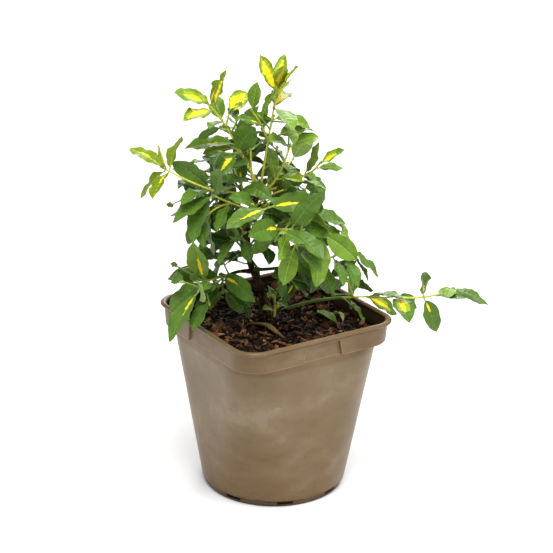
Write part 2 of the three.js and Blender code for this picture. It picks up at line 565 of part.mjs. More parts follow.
// The skin of a leaf before it is bent: rings of four points from a start to a tip. Its faces are
// split alike above and below, from the margin to the midrib, so a twisted blade stays one sheet.
function leafSkin(rings) {
  const skin = new THREE.SphereGeometry(1, 4, rings);
  const faces = [];
  for (let ring = 0; ring < rings; ring += 1) {
    for (let side = 0; side < 4; side += 1) {
      const [b, a] = [ring * 5 + side, ring * 5 + side + 1];
      const [c, d] = [b + 5, a + 5];
      if (ring > 0) {
        faces.push(a, b, side % 2 ? c : d);
      }
      if (ring < rings - 1) {
        faces.push(side % 2 ? a : b, c, d);
      }
    }
  }
  return skin.setIndex(faces);
}

// A leaf and its stalk in one body. The rings run from inside the twig to the leaf's tip: two
// round the stalk, then one at each station of the blade, with a sharp margin.
function leafSolid(leaf) {
  const rings = LEAF_STATIONS.length + 3;
  const base = leaf.midrib[0];
  const axis = base.clone().sub(leaf.root).normalize();
  return solidOf(reshape(leafSkin(rings), (point) => {
    const ring = Math.round((Math.acos(THREE.MathUtils.clamp(point.y, -1, 1)) / Math.PI) * rings);
    const around = Math.hypot(point.x, point.z);
    const u = around > 1e-6 ? Math.round(-point.x / around) : 0;
    const rise = around > 1e-6 ? Math.round(point.z / around) : 0;
    if (ring === 0) {
      point.copy(leaf.root).addScaledVector(axis, -STALK_RADII[0]);
    } else if (ring <= 2) {
      const face = leaf.turned;
      const side = new THREE.Vector3().crossVectors(axis, face);
      const radius = STALK_RADII[ring - 1];
      point.copy(ring === 1 ? leaf.root : base);
      point.addScaledVector(side, u * radius).addScaledVector(face, rise * radius);
    } else {
      const t = ring === rings ? 1 : LEAF_STATIONS[ring - 3];
      point.copy(bladePoint(leaf, t, u, rise * LEAF_THICK * 0.5));
    }
  }));
}

// Masses of foliage

// Level of the squared outline that holds a point: half the side of the square through it
function squareHalf(point) {
  const yaw = POT_YAW * deg;
  const inset = RIM_HALF - RIM_CORNER;
  const u = Math.abs(point.x * Math.cos(yaw) + point.y * Math.sin(yaw));
  const v = Math.abs(point.y * Math.cos(yaw) - point.x * Math.sin(yaw));
  return inset + Math.hypot(Math.max(u - inset, 0), Math.max(v - inset, 0));
}

function clearOfPot(point) {
  const half = squareHalf(point);
  if (half < RIM_HALF - 5) {
    return point.z > SOIL_MOUND + 6 && (half < RIM_HALF - 11 || point.z > RIM_TOP + 3);
  }
  return half > RIM_HALF + 4 || point.z > RIM_TOP + 3;
}

// The middle lines of all twigs, each bending once between its two ends
function layTwigs(limbs) {
  const twigs = {};
  for (const row of TWIGS) {
    const end = vec(row.to);
    const viaFrom = (start) => start.clone().add(end).multiplyScalar(0.5).addScaledVector(UP, row.arch);
    let beginning;
    if (row.foot) {
      beginning = { start: vec(row.foot) };
    } else if (twigs[row.on]) {
      beginning = { start: twigs[row.on].curve.getPoint(row.at) };
    } else {
      beginning = stemBeginning(limbs[row.on], row.on, row.at, viaFrom);
    }
    const curve = bendOf(beginning.start, viaFrom(beginning.start), end);
    twigs[row.name] = { ...row, habit: HABITS[row.habit], curve, cut: beginning.cut };
  }
  return twigs;
}

// A mass's stem starts just clear of the limb that carries it: its side, its tip or its knob
function stemBeginning(limb, limbName, at, viaFrom) {
  const middle = limb.curve.getPoint(at);
  if (at < 1) {
    return { start: springPoint(limb, at, viaFrom(middle), TWIG_RADII[0], CLEAR + 0.05) };
  }
  if (limbName !== 'leader') {
    return carryOn(limb);
  }
  const out = viaFrom(middle).sub(middle).normalize();
  return { start: middle.addScaledVector(out, KNOB_RADIUS + CLEAR + 0.05) };
}

function middleLine(curve) {
  const steps = Math.ceil(curve.getPoint(0).distanceTo(curve.getPoint(1)) / 3) + 1;
  return Array.from({ length: steps + 1 }, (_, i) => curve.getPoint(i / steps));
}

function closerThan(gap, points, others) {
  return points.some((point) => others.some((other) => point.distanceToSquared(other) < gap * gap));
}

// Whether a leaf keeps its distance from the pot, the wood and every leaf grown before it
function standsClear(leaf, leaves, lines, woods) {
  const blade = leaf.cloud.slice(1 + 2 * CLOUD_COLUMNS.length);
  const touches = (other) => leaf.midrib[4].distanceTo(other.midrib[4]) < NEAR
    && closerThan(other.mass === leaf.mass ? MATE_GAP : LEAF_GAP, leaf.cloud, other.cloud);
  const crosses = ({ twig, points }) => (twig.mass === leaf.mass
    ? closerThan(OWN_GAP, blade, points)
    : closerThan(TWIG_GAP, leaf.cloud, points));
  return leaf.cloud.every(clearOfPot)
    && !leaves.some(touches)
    && !lines.some(crosses)
    && !woods.some((wood) => closerThan(wood.gap, leaf.cloud, wood.points));
}

// Grows the leaves of every twig in turn, pair by pair, each pair a quarter turn from the last.
// A leaf that has dropped off, or that would touch what already stands there, is left out.
function growLeaves(limbs, twigs) {
  const lines = Object.values(twigs).map((twig) => ({ twig, points: middleLine(twig.curve) }));
  const woods = Object.values(limbs).map((limb) => (
    { gap: limb.radii[0] + LIMB_GAP, points: middleLine(limb.curve) }));
  const leaves = [];
  for (const twig of Object.values(twigs)) {
    twig.seeds.forEach((seed, pair) => {
      const draw = drawsFrom(seed);
      const share = twig.seeds.length > 1 ? pair / (twig.seeds.length - 1) : 1;
      const at = Math.min(twig.first + (1 - twig.first) * (1 - (1 - share) ** 1.25), 0.99);
      for (const half of [0, 1]) {
        const leaf = growLeaf(twig, share, at, twig.turn + 90 * pair + 180 * half, draw);
        leaf.mass = twig.mass;
        leaf.cloud = leafCloud(leaf);
        const dropped = twig.lost?.includes(2 * pair + half);
        if (!dropped && standsClear(leaf, leaves, lines, woods)) {
          leaves.push(leaf);
        }
      }
    });
  }
  return leaves;
}

// A cluster of round green flower buds on a thin stalk
function budSolid(row, twigs) {
  const start = twigs[row.on].curve.getPoint(row.at);
  const end = vec(row.to);
  const stalk = new THREE.QuadraticBezierCurve3(start, start.clone().lerp(end, 0.5).setZ(end.z), end);
  let cluster = solidOf(rod(stalk, () => BUD_STALK_RADIUS, 3, 4));
  for (let bud = 0; bud < BUDS; bud += 1) {
    const ball = new THREE.OctahedronGeometry(BUD_RADIUS, 0);
    const turn = (bud / (BUDS - 1)) * 2 * Math.PI;
    const out = bud < BUDS - 1 ? BUD_SPREAD : 0;
    ball.translate(end.x + out * Math.cos(turn), end.y + out * Math.sin(turn), end.z + (out ? 0 : 0.8));
    cluster = cluster.add(solidOf(ball));
  }
  return cluster;
}

function massSolids(twigs, leaves) {
  const masses = {};
  for (const twig of Object.values(twigs)) {
    const radiusAt = (t) => mix(...TWIG_RADII, t) * (twig.on in LIMBS ? 1 : 0.9);
    masses[twig.mass] ??= [];
    masses[twig.mass].push(trimmed(solidOf(rod(twig.curve, radiusAt, 3, 5)), twig.cut));
  }
  for (const leaf of leaves) {
    masses[leaf.mass].push(leafSolid(leaf));
  }
  for (const row of BUD_CLUSTERS) {
    masses[twigs[row.on].mass].push(budSolid(row, twigs));
  }
  return masses;
}

// Keeps the piece that holds a mass together and drops any loose scrap
function wholeOf(solids) {
  const pieces = join(solids).decompose();
  const whole = pieces.reduce((best, piece) => (piece.volume() > best.volume() ? piece : best));
  return whole.simplify(SMOOTHING);
}

// Materials

const finishes = {
  pot: new THREE.MeshStandardMaterial({ color: 0x8c7a66, roughness: 0.5, metalness: 0 }),
  soil: new THREE.MeshStandardMaterial({ color: 0x3a2418, roughness: 0.95, metalness: 0 }),
  bark: new THREE.MeshStandardMaterial({ color: 0x4a3a2a, roughness: 0.8, metalness: 0 }),
  greenwood: new THREE.MeshStandardMaterial({ color: 0x4f7a35, roughness: 0.6, metalness: 0 }),
  foliage: new THREE.MeshStandardMaterial({ color: 0x4f8a2c, roughness: 0.4, metalness: 0 }),
};

// The plant

const plant = new THREE.Group();

function place(name, solid, finish) {
  const mesh = new THREE.Mesh(geometryOf(solid), finishes[finish].clone());
  mesh.name = name;
  plant.add(mesh);
  return mesh;
}

place('pot', potSolid(), 'pot').rotation.z = POT_YAW * deg;
place('soil', soilSolid(), 'soil').rotation.z = POT_YAW * deg;

const limbs = buildLimbs();
for (const [name, limb] of Object.entries(limbs)) {
  place(name, limbSolid(name, limb), GREEN_LIMBS.includes(name) ? 'greenwood' : 'bark');
}

const twigs = layTwigs(limbs);
const leaves = growLeaves(limbs, twigs);
for (const [name, solids] of Object.entries(massSolids(twigs, leaves))) {
  place(name, wholeOf(solids), 'foliage');
}

export default plant;
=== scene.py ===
# %% [markdown]
# # A young variegated wintercreeper in its nursery pot
# Wintercreeper is a small evergreen shrub that stands, sprawls and roots as it goes. This one is a
# young plant: a short trunk that forks low, green twigs with leaves in pairs, and one long runner
# over the rim of a square-rimmed pot of bark mulch.
#
# Its solids were made first, at real size, and are opened here as a frame that stays as it is.
# This notebook gives each of them its finished surface: moulded plastic, chips of bark, cracked
# wood, and every leaf with its veins, teeth and yellow flame.

# %% Open the frame
import math

import bpy
import numpy as np
from mathutils import Matrix, Vector, noise


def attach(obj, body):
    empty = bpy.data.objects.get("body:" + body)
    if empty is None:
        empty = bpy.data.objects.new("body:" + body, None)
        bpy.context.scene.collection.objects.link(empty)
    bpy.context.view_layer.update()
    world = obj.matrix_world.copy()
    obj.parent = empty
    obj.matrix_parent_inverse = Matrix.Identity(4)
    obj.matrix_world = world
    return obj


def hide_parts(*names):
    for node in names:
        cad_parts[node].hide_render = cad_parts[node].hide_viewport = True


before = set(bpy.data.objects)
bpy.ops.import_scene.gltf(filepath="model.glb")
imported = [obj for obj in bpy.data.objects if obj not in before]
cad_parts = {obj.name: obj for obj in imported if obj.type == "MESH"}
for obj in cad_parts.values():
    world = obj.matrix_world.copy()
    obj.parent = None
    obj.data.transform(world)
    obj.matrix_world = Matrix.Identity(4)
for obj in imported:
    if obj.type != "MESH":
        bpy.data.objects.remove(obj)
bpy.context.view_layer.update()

MM = 0.001

# %% [markdown]
# ## From points and faces to a piece
# A plant has hundreds of near copies, no two alike. Modelling them by hand would take weeks, and
# copies of one leaf would show. So each kind of thing is a small function that works out points in
# millimetres, and one helper turns points and faces into a piece that rides on the plant's body.

# %% A piece from points and faces
def add_piece(name, points, faces, finishes, face_finish=None, slot=None, stands_for=(), crisp=None):
    """A shaded mesh that rides on the plant. crisp is the angle in degrees from which edges stay hard."""
    mesh = bpy.data.meshes.new(name)
    mesh.from_pydata(np.asarray(points, float) * MM, [], faces)
    for finish in finishes:
        mesh.materials.append(finish)
    if face_finish is not None:
        mesh.polygons.foreach_set("material_index", np.asarray(face_finish, np.int32))
    mesh.shade_smooth()
    if crisp is not None:
        mesh.set_sharp_from_angle(angle=math.radians(crisp))
    mesh.update()
    piece = bpy.data.objects.new(name, mesh)
    bpy.context.scene.collection.objects.link(piece)
    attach(piece, "root")
    if stands_for:
        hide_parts(*stands_for)
    print(f"{name}: {len(mesh.vertices)} points, {len(mesh.polygons)} faces")
    return piece


def between_rings(rings, sides):
    """The faces between rings of points that lie one after another, each with as many points."""
    faces = []
    for r in range(rings - 1):
        for i in range(sides):
            j = (i + 1) % sides
            faces.append((r * sides + i, r * sides + j, (r + 1) * sides + j, (r + 1) * sides + i))
    return faces


class Heap:
    """Gathers many small meshes that become one piece."""

    def __init__(self):
        self.points, self.faces, self.finish, self.count = [], [], [], 0

    def add(self, points, faces, finish=0):
        """finish is one number, or one for each face."""
        self.faces += [tuple(int(i) + self.count for i in face) for face in faces]
        self.finish += [finish] * len(faces) if np.isscalar(finish) else list(finish)
        self.points.append(np.asarray(points, float))
        self.count += len(points)

    def piece(self, name, finishes, **more):
        return add_piece(name, np.concatenate(self.points), self.faces, finishes, self.finish, **more)


# %% [markdown]
# ## Finishes
# Leaves, bark and moulded plastic are all one colour only from far away. Close to, the colour
# wanders and the gloss changes over a fine relief. A picture wrapped round them would blur and
# stretch, so each finish is worked out by shader nodes instead. A small class holds one material's
# nodes, with a short word for each thing that is done again and again: a noise pattern, a ramp that
# gives it colours, and a bump.

# %% The nodes of one material
class Recipe:
    """One material's nodes, joined by short words."""

    def __init__(self, name, roughness, shine):
        self.material = bpy.data.materials.new(name)
        self.material.use_nodes = True
        self.nodes, self.links = self.material.node_tree.nodes, self.material.node_tree.links
        self.shader = self.nodes["Principled BSDF"]
        self.shader.inputs["Roughness"].default_value = roughness
        self.shader.inputs["Specular IOR Level"].default_value = shine
        self.place = self.nodes.new("ShaderNodeTexCoord").outputs["Object"]

    def noise(self, scale, stretch=(1, 1, 1), detail=4, rough=0.5):
        """A noise pattern. scale is in the metre, so 120 gives patches of about 8 mm."""
        spread = self.nodes.new("ShaderNodeMapping")
        spread.inputs["Scale"].default_value = stretch
        pattern = self.nodes.new("ShaderNodeTexNoise")
        pattern.inputs["Scale"].default_value = scale
        pattern.inputs["Detail"].default_value = detail
        pattern.inputs["Roughness"].default_value = rough
        self.links.new(self.place, spread.inputs["Vector"])
        self.links.new(spread.outputs["Vector"], pattern.inputs["Vector"])
        return pattern.outputs["Fac"]

    def ramp(self, source, stops):
        """Colours for a pattern's values, by (value, colour) stops."""
        ramp = self.nodes.new("ShaderNodeValToRGB")
        for i, (at, colour) in enumerate(stops):
            stop = ramp.color_ramp.elements[i] if i < 2 else ramp.color_ramp.elements.new(at)
            stop.position = at
            stop.color = (*colour, 1)
        self.links.new(source, ramp.inputs["Fac"])
        return ramp.outputs["Color"]

    def bump(self, height, strength, depth):
        """Lets a pattern raise the surface. depth is in millimetres."""
        bump = self.nodes.new("ShaderNodeBump")
        bump.inputs["Strength"].default_value = strength
        bump.inputs["Distance"].default_value = depth * MM
        self.links.new(height, bump.inputs["Height"])
        self.links.new(bump.outputs["Normal"], self.shader.inputs["Normal"])


# %% A finish whose colour wanders a little
def finish(name, colours, roughness, patch=120, stretch=(1, 1, 1), relief=0.0, grain=900, shine=0.3,
           contrast=0.3):
    """colours run from the hollows of the noise to its heights. patch and grain are the scales of
    the colour and of the relief. relief is the depth of the fine grain in mm."""
    recipe = Recipe(name, roughness, shine)
    stops = []
    for i, colour in enumerate(colours):
        share = i / (len(colours) - 1)
        stops.append((0.5 + (share - 0.5) * (1 - contrast), colour))
    colour = recipe.ramp(recipe.noise(patch, stretch), stops)
    recipe.links.new(colour, recipe.shader.inputs["Base Color"])
    if relief:
        recipe.bump(recipe.noise(grain, stretch, detail=3), strength=0.6, depth=relief)
    return recipe.material


def tones(colour, spread=0.12, steps=3):
    """A few close tones of one colour, from darker to lighter."""
    return [tuple(c * (1 + spread * (2 * i / (steps - 1) - 1)) for c in colour) for i in range(steps)]


# %% [markdown]
# ## The pot
# A thin pot pressed from recycled plastic: round where it stands and squarer towards the rim, with a
# rounded lip, a band that stands away from each corner like a skirt, and drain slots round the foot.
# A turned profile can't be square above and round below, so the wall is laid out as rows of points.
# Every row is the pot's outline at its own level, with its points in the same places.

# %% The pot's measures
POT_YAW = math.radians(32.8)
RIM_HALF, RIM_TOP, LIP = 85.0, 175.5, 4.4
WALL, FLOOR = 1.6, 2.4
FOOT_RADIUS, FOOT_HEIGHT = 66.6, 6.0
BASE_RADIUS, BASE_CORNER = 68.6, 68.0
WALL_TOP_HALF, WALL_TOP, WALL_CORNER = 81.3, 171.0, 34.0
BAND_CORNER, RIM_CORNER = 26.0, 20.5
BAND_LOW, BAND_HIGH, BAND_PROUD = 153.5, 172.5, 2.9
NOTCH_LOW_HALF, NOTCH_TOP_HALF, NOTCH_HIGH = 21.0, 17.5, 168.8
SLOTS, SLOT_WIDTH, SLOT_DEEP = 8, 15.0, 4.0


def smooth(x, low, high):
    x = np.clip((x - low) / (high - low), 0, 1)
    return x * x * (3 - 2 * x)


def mix(a, b, t):
    return a + (b - a) * t


def wall_half(level):
    return mix(BASE_RADIUS, WALL_TOP_HALF, (level - FOOT_HEIGHT) / (WALL_TOP - FOOT_HEIGHT))


def wall_corner(level):
    return mix(BASE_CORNER, WALL_CORNER, np.clip(level / WALL_TOP, 0, 1))


def turned(points):
    """Points of the pot turned to the way it stands."""
    points = np.asarray(points, float)
    x, y = points[:, 0], points[:, 1]
    c, s = math.cos(POT_YAW), math.sin(POT_YAW)
    return np.stack([x * c - y * s, x * s + y * c, points[:, 2]], axis=1)


# %% [markdown]
# The outline at one level is four flats and four round corners. Half a side is laid out from its
# middle to the diagonal. The points are closer together where the wall steps: at the sides of the
# drain slots below, and along the slanted end of the band above.

# %% Half a side of the pot's outline
STEPS = (-0.9, -0.35, -0.1, 0.15, 0.45, 1.2)
SLOT_NEAR, SLOT_FAR = 18.4, 32.26


def band_end(level):
    """How far from the middle of a side the band ends. Below the band, where the slot begins."""
    if level < BAND_LOW:
        return mix(SLOT_NEAR, NOTCH_LOW_HALF, max(level - FOOT_HEIGHT, 0) / (BAND_LOW - FOOT_HEIGHT))
    return mix(NOTCH_LOW_HALF, NOTCH_TOP_HALF, min((level - BAND_LOW) / (NOTCH_HIGH - BAND_LOW), 1))


def half_side(half, corner, level):
    """Points from the middle of a side to the diagonal: how far along and how far out."""
    near, inset = band_end(level), half - corner
    along = [*np.linspace(0, near + STEPS[0], 5)[:-1], *(near + step for step in STEPS)]
    along += [*np.linspace(along[-1], SLOT_FAR + STEPS[0], 5)[1:-1], *(SLOT_FAR + step for step in STEPS)]
    along += [*np.linspace(along[-1], inset + corner * math.sqrt(0.5), 15)[1:]]
    along = np.array(along)
    beyond = np.maximum(along - inset, 0)
    return along, inset + np.sqrt(np.maximum(corner ** 2 - beyond ** 2, 0))


def slot_depth(level, turn):
    """How far a drain slot sinks into the foot, at a turn round the pot in degrees."""
    step = 360 / SLOTS
    off = abs((turn % step) - step / 2)
    half = math.degrees(math.asin(SLOT_WIDTH / 2 / FOOT_RADIUS))
    side = 1 - smooth(off, half - 0.35, half + 0.35)
    return SLOT_DEEP * side * smooth(level, FLOOR - 0.2, FLOOR + 0.3) * (1 - smooth(level, 5.6, 6.0))


def outline(level, half=None, corner=None, band=0.0, inset=0.0):
    """The pot's outline at one level: the wall's, led out to the band's where band is above 0, or
    one of a given half width and corner. inset moves it inwards."""
    if half is None:
        along, out = half_side(wall_half(level) - inset, wall_corner(level) - inset, level)
        proud = BAND_PROUD - 0.4 * max(level - BAND_LOW, 0) / (BAND_HIGH - BAND_LOW)
        band_along, band_out = half_side(wall_half(level) + proud - inset, BAND_CORNER - inset, level)
        notched = 1 - smooth(level, NOTCH_HIGH - 0.3, NOTCH_HIGH + 0.3)
        past = smooth(along - band_end(level), -0.2, 0.5)
        share = band * (1 - notched * (1 - past))
        along, out = mix(along, band_along, share), mix(out, band_out, share)
    else:
        along, out = half_side(half, corner, level)
    side = [*zip(-along[::-1], out[::-1]), *zip(along[1:], out[1:])][:-1]
    row = []
    for quarter in range(4):
        a = math.radians(90 * quarter)
        ahead, across = np.array([math.cos(a), math.sin(a)]), np.array([-math.sin(a), math.cos(a)])
        row += [ahead * y + across * x for x, y in side]
    return np.array([(x, y, level) for x, y in row])


# %% The pot's profile, from the middle of its underside over the lip to the middle of its floor
def foot_row(half, level):
    """A round row of the foot, with the drain slots sunk into it."""
    row = outline(level, FOOT_RADIUS, FOOT_RADIUS)
    for point in row:
        turn = math.degrees(math.atan2(point[1], point[0]))
        sunk = slot_depth(level, turn) if half > FOOT_RADIUS - 0.5 else 0
        point[:2] *= (half - sunk) / FOOT_RADIUS
    return row


def pot_rows():
    rows = [foot_row(half, 0) for half in (20, 50, FOOT_RADIUS - 3, FOOT_RADIUS - 1)]
    rows += [foot_row(FOOT_RADIUS - 0.3, 0.3), foot_row(FOOT_RADIUS, 1.0)]
    rows += [foot_row(FOOT_RADIUS, level) for level in (2.0, 2.3, 2.6, 2.9, 4.2, 5.3, 5.6, 5.8)]
    rows += [foot_row(BASE_RADIUS - 0.7, 5.95), foot_row(BASE_RADIUS - 0.1, 6.3)]
    rows += [outline(level) for level in np.linspace(7, BAND_LOW, 28)]
    rows += [outline(BAND_LOW + rise, band=band) for rise, band in
             ((0.02, 0.1), (0.05, 0.5), (0.1, 0.94), (0.5, 1), (1.1, 1))]
    levels = [*np.linspace(BAND_LOW + 2, NOTCH_HIGH - 0.8, 7)]
    levels += [NOTCH_HIGH + step for step in (-0.35, -0.1, 0.15, 0.4, 1.4, 2.1)]
    rows += [outline(level, band=1) for level in levels]
    tube, middle = LIP / 2, RIM_TOP - LIP / 2
    lip = [(RIM_HALF - tube + tube * math.cos(a), middle + tube * math.sin(a))
           for a in np.radians(range(-70, 200, 18))]
    rows += [outline(level, half, RIM_CORNER) for half, level in lip]
    behind_band = np.linspace(WALL_TOP - 0.5, BAND_LOW + WALL, 6)
    rows += [outline(level, band=1, inset=WALL) for level in behind_band]
    below_band = np.linspace(BAND_LOW + WALL, FOOT_HEIGHT + 1, 8)
    rows += [outline(level, inset=WALL) for level in below_band]
    return rows + [foot_row(FOOT_RADIUS - WALL, FLOOR), foot_row(30, FLOOR)]


# %% The pot's skin, and which plastic each face takes
# The band's lower edge and ends are painted paler as a highlight; the inside is painted darker as shade.
OUTSIDE, INSIDE, PAINTED_HIGHLIGHT_EDGE = 0, 1, 2
EDGE_LOW, EDGE_HIGH = 0.06, 1.2
BAND_ENDS = (7, 8, -9, -8)
LIP_ROWS = 4


def pot_skin():
    """Points, faces and finishes. The band's lower edge and its ends get a painted highlight."""
    rows = pot_rows()
    around, levels = len(rows[0]), [row[0][2] for row in rows]
    top_row = levels.index(max(levels))
    finishes = []
    for r, (low, high) in enumerate(zip(levels, levels[1:])):
        within = r > top_row + LIP_ROWS
        edge = not within and BAND_LOW + EDGE_LOW < low < high < BAND_LOW + EDGE_HIGH
        beside = not within and BAND_LOW < low < high < NOTCH_HIGH
        for i in range(around):
            highlighted = edge or (beside and i % (around // 4) - around // 8 in BAND_ENDS)
            finishes.append(INSIDE if within else PAINTED_HIGHLIGHT_EDGE if highlighted else OUTSIDE)
    faces = between_rings(len(rows), around)
    points = [point for row in rows for point in row] + [(0, 0, 0), (0, 0, FLOOR)]
    last, under, inside = (len(rows) - 1) * around, len(rows) * around, len(rows) * around + 1
    for i in range(around):
        j = (i + 1) % around
        faces += [(j, i, under), (last + i, last + j, inside)]
        finishes += [OUTSIDE, INSIDE]
    print("pot:", len(rows), "rows of", around, "points")
    return turned(points), faces, finishes


# %% [markdown]
# ### Recycled plastic
# The plastic is a warm grey brown with pale blotches where it has dried, and browner towards the foot
# where it has been wiped with a muddy hand. The wipes go round the pot, so the noise that places them
# is squeezed along the height, and the height itself shifts the mix through a plain ramp on Z. Painted
# shade darkens the creases: under the lip, at the ends of the band and in the drain slots. Each of these
# is laid over the one before, so the pot's recipe knows more words: blend, dim, height and crease shade.

# %% More words for the pot's recipe
def grey(*stops):
    """Stops of a ramp that are plain greys, used as shares from 0 to 1."""
    return [(at, (share, share, share)) for at, share in stops]


class PotRecipe(Recipe):
    """A recipe with the blends that the pot's stains need."""

    def plain(self, colour):
        node = self.nodes.new("ShaderNodeRGB")
        node.outputs[0].default_value = (*colour, 1)
        return node.outputs[0]

    def product(self, a, b):
        times = self.nodes.new("ShaderNodeMath")
        times.operation = "MULTIPLY"
        self.links.new(a, times.inputs[0])
        self.links.new(b, times.inputs[1])
        return times.outputs["Value"]

    def blend(self, share, a, b):
        """Colour a where the share is 0, colour b where it is 1."""
        node = self.nodes.new("ShaderNodeMix")
        node.data_type = "RGBA"
        self.links.new(share, node.inputs["Factor"])
        self.links.new(a, node.inputs["A"])
        self.links.new(b, node.inputs["B"])
        return node.outputs["Result"]

    def dimmed(self, colour, by):
        """A colour multiplied by another."""
        node = self.nodes.new("ShaderNodeMix")
        node.data_type = "RGBA"
        node.blend_type = "MULTIPLY"
        node.inputs["Factor"].default_value = 1
        self.links.new(colour, node.inputs["A"])
        self.links.new(by, node.inputs["B"])
        return node.outputs["Result"]

    def height(self, top):
        """How high a point stands, from 0 at the ground to 1 at a top in mm."""
        split = self.nodes.new("ShaderNodeSeparateXYZ")
        self.links.new(self.place, split.inputs["Vector"])
        share = self.nodes.new("ShaderNodeMapRange")
        share.inputs["From Max"].default_value = top * MM
        self.links.new(split.outputs["Z"], share.inputs["Value"])
        return share.outputs["Result"]

    def crease_shade(self, reach, stops):
        """A ramp of painted shade over how deep a point lies in a crease. reach is in mm."""
        node = self.nodes.new("ShaderNodeAmbientOcclusion")
        node.inputs["Distance"].default_value = reach * MM
        return self.ramp(node.outputs["AO"], stops)


# %% The pot's colours
CLEAN = [(0.36, (0.142, 0.098, 0.046)), (0.5, (0.164, 0.117, 0.062)), (0.59, (0.194, 0.145, 0.086)),
         (0.66, (0.238, 0.190, 0.130))]
STAINED = [(0.36, (0.098, 0.052, 0.012)), (0.64, (0.142, 0.083, 0.025))]
SPECKS = [(0.76, (1, 1, 1)), (0.80, (0.3, 0.25, 0.2))]
# Painted shade for the creases: colours that darken a point by how deep it lies, and their reach in mm.
CREASE_SHADE = [(0.30, (0.25, 0.19, 0.13)), (0.62, (0.72, 0.68, 0.62)), (0.9, (1, 1, 1))]
CREASE_SHADE_REACH = 10
MUD, SCUFF = (0.035, 0.022, 0.012), (0.34, 0.28, 0.21)
STAIN_BY_HEIGHT = grey((0.02, 1), (0.30, 0.72), (0.55, 0.28), (0.82, 0.12), (0.835, 0.85))
MUD_BY_HEIGHT = grey((0.01, 0), (0.025, 0.8), (0.038, 1), (0.052, 0))


# %% The pot's plastic
def pot_plastic(name, light):
    """light scales the colour: 1 outside, less as painted shade inside, more as painted highlight on edges.
    """
    plastic = PotRecipe(name, roughness=0.4, shine=0.33)
    height = plastic.height(RIM_TOP)
    clean = plastic.ramp(plastic.noise(15, (1, 1, 1.3), detail=9, rough=0.62), CLEAN)
    stained = plastic.ramp(plastic.noise(22, (1, 1, 2.2), detail=9, rough=0.6), STAINED)
    wipes = plastic.ramp(plastic.noise(26, (1, 1, 2.2), detail=8, rough=0.6), grey((0.38, 0.55), (0.62, 1)))
    share = plastic.product(plastic.ramp(height, STAIN_BY_HEIGHT), wipes)
    colour = plastic.blend(share, clean, stained)
    colour = plastic.dimmed(colour, plastic.ramp(plastic.noise(520, (1, 1, 0.6), detail=1), SPECKS))
    crumbs = plastic.ramp(plastic.noise(75, (1, 1, 2), detail=6, rough=0.65), grey((0.50, 0), (0.60, 1)))
    muddy = plastic.product(plastic.ramp(height, MUD_BY_HEIGHT), crumbs)
    colour = plastic.blend(muddy, colour, plastic.plain(MUD))
    scuffs = plastic.ramp(plastic.noise(170, (1, 1, 2.5), detail=3), grey((0.74, 0), (0.78, 1)))
    colour = plastic.blend(scuffs, colour, plastic.plain(SCUFF))
    # Painted shade: darker where a point lies deep in a crease, under the lip and the band.
    colour = plastic.dimmed(colour, plastic.crease_shade(CREASE_SHADE_REACH, CREASE_SHADE))
    # Painted shade inside the pot and a painted highlight on the band's edges: each finish's light scales
    # the colour.
    colour = plastic.dimmed(colour, plastic.plain((light, light * 0.97, light * 0.92)))
    plastic.links.new(colour, plastic.shader.inputs["Base Color"])
    plastic.bump(plastic.noise(500, (1, 1, 0.5)), strength=0.35, depth=0.3)
    return plastic.material


# The inside's plastic is dimmed as painted shade, the edge's brightened as a painted highlight.
pot_finishes = [pot_plastic(name, light) for name, light in
                (("pot_plastic", 1), ("pot_inside_painted_shade", 0.33), ("pot_edge_painted_highlight", 1.45))]
pot_points, pot_faces, pot_finish = pot_skin()
add_piece("pot_moulding", pot_points, pot_faces, pot_finishes, pot_finish, slot="pot",
          stands_for=["pot"], crisp=30)

# %% [markdown]
# ## The mulch
# Under the plant lies coarse bark mulch: black-brown damp crumbs with red-brown and tan chips, some
# fibres and straw. A bumpy texture would look like gravel. So the bed is only a dark ground, and
# some thousand chips are dealt over it, each a splinter of its own size, turn and tilt.

# %% The bed under the chips
SOIL_EDGE, SOIL_MOUND, MOUND_AT, MOUND_RADIUS = 156.5, 160.0, (-4, 23), 17.0
BACK_RISE, BACK_FROM, BACK_TO, BACK_SLANT = 12.5, 36, 98, 0.35
SOIL_HALF = float(wall_half(SOIL_EDGE)) + BAND_PROUD - WALL - 0.5
BED_RINGS, BED_GAP, BED_FLOOR = 44, 0.3, 8


def soil_level(x, y):
    """The source's level of the loose top: a low mound round the stems, dips and humps, a heap behind."""
    away = math.hypot(x - MOUND_AT[0], y - MOUND_AT[1])
    rise = 1 - float(smooth(away, MOUND_RADIUS, 3.2 * MOUND_RADIUS))
    humps = math.sin(x * 0.13 + 1.1) * math.sin(y * 0.11 + 0.4) + 0.6 * math.sin((x - y) * 0.23)
    heaped = BACK_RISE * float(smooth(y - BACK_SLANT * x, BACK_FROM, BACK_TO))
    return mix(SOIL_EDGE + 0.9 * humps, SOIL_MOUND, rise) + heaped


def square_half(x, y, inset=RIM_HALF - RIM_CORNER):
    """Half the side of the pot's rounded square through a point. inset is where its corners begin."""
    u = abs(x * math.cos(POT_YAW) + y * math.sin(POT_YAW))
    v = abs(y * math.cos(POT_YAW) - x * math.sin(POT_YAW))
    return inset + math.hypot(max(u - inset, 0), max(v - inset, 0))


